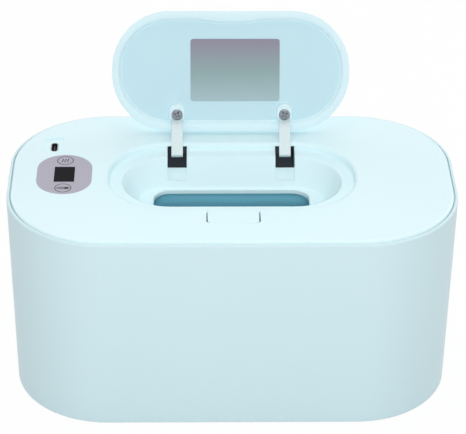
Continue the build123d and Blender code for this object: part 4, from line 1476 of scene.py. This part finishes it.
    def arm(self, side: int) -> Shape:
        """A hinge arm: a rounded strip section carried along the bent side view, its tip drawn
        in to a half circle, and an eye round the pin.

        Args:
            side: -1 for the left arm, 1 for the right.

        Returns:
            The arm, in its open place.
        """
        path = self.arm_path()
        first = path[1] - path[0]
        angles = np.linspace(self.nose_start, np.pi / 2, 12)
        inward = self.arm_half * (1 - np.cos(angles))
        nose = path[0] + first / np.linalg.norm(first) * inward[:, None]
        path = np.concatenate([nose, path[1:]])
        full = np.full(len(path) - len(angles), self.arm_half)
        halves = np.concatenate([self.arm_half * np.sin(angles), full])
        along = np.gradient(path, axis=0)
        along /= np.linalg.norm(along, axis=1, keepdims=True)
        # the section is drawn with a half width of 1, then its sides move out to the arm's own
        thin, corner = self.arm_thick / 2, self.arm_edge_round
        section = RoundedOutline(1.0, thin, corner, arc_steps=4, run_steps=2)
        ring, normals = section.core()
        across = ring + normals * section.corner
        hand = np.sign(across[:, 0])
        edge = hand * np.maximum(0.0, 1 - np.abs(across[:, 0]))
        wide = hand[None] * halves[:, None] - edge[None] * np.minimum(1.0, halves)[:, None]
        normal = np.stack([-along[:, 1], along[:, 0]], axis=1)
        flat = path[:, None] + normal[:, None] * across[None, :, 1:2]
        grid = np.concatenate([(wide + side * self.arm_x)[..., None], flat], axis=2)
        strip = grid_shape(grid, first_cap=True, last_cap=True)
        width = (-self.arm_half, self.arm_half)
        eye = tube((0.0, 0.0), self.eye_outer, self.eye_inner, *width, self.eye_round)
        turned = eye.placed((side * self.arm_x, *self.pivot), [(0, 1, 0), (0, 0, 1), (1, 0, 0)])
        return strip.joined(turned)

    def build(self, workshop: Workshop) -> None:
        """Makes and dresses the lid's pieces.

        Args:
            workshop: What makes them.
        """
        shell = self.shell().joined(self.boss(-1), self.boss(1))
        workshop.piece(self.opened(shell), "lid", "lid", Slot.LID, ["lid_shell"])
        # the panel gets a darker copy of the lid's ABS: painted shade on the floor inside the rim
        panel = workshop.piece(self.opened(self.panel()), "lid_floor_shade_panel", "lid", Slot.LID)
        panel.data.materials[0] = LID_FLOOR_SHADE.build()
        workshop.piece(self.opened(self.label()), "label_plate", "lid", Slot.LABEL, ["lid_label"])
        for side, hand in ((-1, "left"), (1, "right")):
            workshop.piece(self.arm(side), f"arm_{hand}", "lid", Slot.ARM, [f"hinge_arm_{hand}"])
        seat = self.boss_top + self.arm_thick
        left, right = (
            self.screw.shape(turn).placed((side * self.arm_x, self.screw_place, seat))
            for side, turn in zip((-1, 1), self.screw_turns)
        )
        screws = self.opened(left.joined(right))
        workshop.piece(screws, "lid_screws", "lid", Slot.SCREW, ["arm_screws"], self.screw_crease)


@dataclass
class Release:
    """The push button and the latch slider that it moves."""

    def build(self, workshop: Workshop) -> None:
        """Dresses the button and the latch."""
        workshop.copy("release_button", "button", Slot.COVER)
        workshop.copy("latch_slider", "latch", Slot.LATCH)


# ---------------------------------------------------------------- studio


@dataclass(frozen=True)
class Lamp:
    """A square lamp: its power in watts, the length of its side and the place of its middle in
    metres, and whether glossy surfaces mirror it."""

    name: str
    power: float
    size: float
    place: tuple[float, float, float]
    mirrored: bool = True


@dataclass
class Studio:
    """A white table and sky, a wide lamp overhead, a fill on each side of the back, a small fill
    by the camera, and the camera. Places are in metres, and the lens and sensor in millimetres.

    The flat back wall of the dish would mirror the small fill as a bright patch, so glossy
    surfaces don't see that lamp.
    """

    position: tuple[float, float, float] = (-0.02191, -0.97556, 0.68478)
    forward: tuple[float, float, float] = (0.019755, 0.852165, -0.5229)
    right: tuple[float, float, float] = (0.999803, -0.017746, 0.008852)
    lens: float = 169.76
    sensor: float = 36.0
    clip: tuple[float, float] = (0.05, 20.0)
    sky: float = 0.44
    sky_tint: str = "#FBFDFF"
    seen_share: float = 0.95
    table_glow: float = 1.01
    table_half: float = 6.0
    paper: str = "#DCDEDF"
    white: str = "#FFFFFF"
    lamps: tuple[Lamp, ...] = (
        Lamp("overhead_softbox", 5.1, 1.3, (0.05, 0.45, 1.3)),
        Lamp("rear_fill_left", 2.2, 0.8, (-0.85, 0.75, 0.45)),
        Lamp("rear_fill_right", 3.2, 0.8, (0.95, 0.6, 0.45)),
        Lamp("front_fill", 6.0, 0.12, (-0.0229, -1.018, 0.711), mirrored=False),
    )
    aim: tuple[float, float, float] = (0.0, 0.0, 0.1)

    def camera(self) -> None:
        """Places the camera from its position, its view direction and its right-hand direction."""
        back = -Vector(self.forward).normalized()
        right = Vector(self.right)
        right = (right - back * right.dot(back)).normalized()
        data = bpy.data.cameras.new("camera")
        data.lens, data.sensor_width = self.lens, self.sensor
        data.clip_start, data.clip_end = self.clip
        camera = bpy.data.objects.new("camera", data)
        turn = Matrix((right, back.cross(right), back)).transposed().to_4x4()
        camera.matrix_world = Matrix.Translation(Vector(self.position)) @ turn
        bpy.context.scene.collection.objects.link(camera)
        bpy.context.scene.camera = camera

    def seen_white(self, tree: Any, share: float) -> Any:
        """A factor that is high for rays that see the backdrop directly, in gloss or through glass.

        Args:
            tree: The node tree that it goes into.
            share: The factor for those rays; it is 0 for all others.

        Returns:
            The socket that gives the factor.
        """
        rays = add(tree, "LightPath")
        seen = rays.outputs["Is Camera Ray"]
        for kind in ("Is Glossy Ray", "Is Transmission Ray"):
            links = {0: seen, 1: rays.outputs[kind]}
            seen = add(tree, "Math", {"operation": "MAXIMUM"}, links).outputs[0]
        return add(tree, "Math", {"operation": "MULTIPLY", 1: share}, {0: seen}).outputs[0]

    def world(self) -> None:
        """A sky that is white to the eye and lights the object at a plain level."""
        world = bpy.data.worlds.new("studio_sky")
        bpy.context.scene.world = world
        tree = new_tree(world)
        light = add(tree, "Background", {"Color": linear(self.sky_tint), "Strength": self.sky})
        white = add(tree, "Background", {"Color": linear(self.white), "Strength": 1.0})
        seen = self.seen_white(tree, 1.0)
        mix = add(tree, "MixShader", {}, {0: seen, 1: light.outputs[0], 2: white.outputs[0]})
        add(tree, "OutputWorld", {}, {"Surface": mix.outputs[0]})

    def table(self) -> None:
        """A white table that keeps the object's shadow."""
        half = self.table_half
        corners = [(-half, -half, 0), (half, -half, 0), (half, half, 0), (-half, half, 0)]
        mesh = bpy.data.meshes.new("table")
        mesh.from_pydata(corners, [], [(0, 1, 2, 3)])
        table = bpy.data.objects.new("table", mesh)
        bpy.context.scene.collection.objects.link(table)
        material = bpy.data.materials.new("table_paper")
        tree = new_tree(material)
        paper = add(tree, "BsdfDiffuse", {"Color": linear(self.paper)})
        glow = add(tree, "Emission", {"Color": linear(self.white), "Strength": self.table_glow})
        seen = self.seen_white(tree, self.seen_share)
        mix = add(tree, "MixShader", {}, {0: seen, 1: paper.outputs[0], 2: glow.outputs[0]})
        add(tree, "OutputMaterial", {}, {"Surface": mix.outputs[0]})
        mesh.materials.append(material)

    def hang(self, lamp: Lamp) -> None:
        """Hangs a lamp so that it faces the object.

        Args:
            lamp: The lamp.
        """
        data = bpy.data.lights.new(lamp.name, "AREA")
        data.shape = "SQUARE"
        data.size = lamp.size
        data.energy = lamp.power
        hung = bpy.data.objects.new(lamp.name, data)
        hung.visible_glossy = lamp.mirrored
        place = Vector(lamp.place)
        turn = (Vector(self.aim) - place).to_track_quat("-Z", "Y").to_matrix().to_4x4()
        hung.matrix_world = Matrix.Translation(place) @ turn
        bpy.context.scene.collection.objects.link(hung)

    def build(self) -> None:
        """Sets up the whole studio."""
        self.camera()
        self.world()
        self.table()
        for lamp in self.lamps:
            self.hang(lamp)
        bpy.context.scene.view_settings.view_transform = "Standard"


def main() -> None:
    """Builds the sub-assemblies in order, then the studio."""
    logging.basicConfig(level=logging.INFO)
    workshop = Workshop(Palette())
    for part in (Casing(), Cover(), Lid(), Release()):
        LOG.info("building %s", type(part).__name__)
        part.build(workshop)
    Studio().build()


if __name__ == "__main__":
    main()
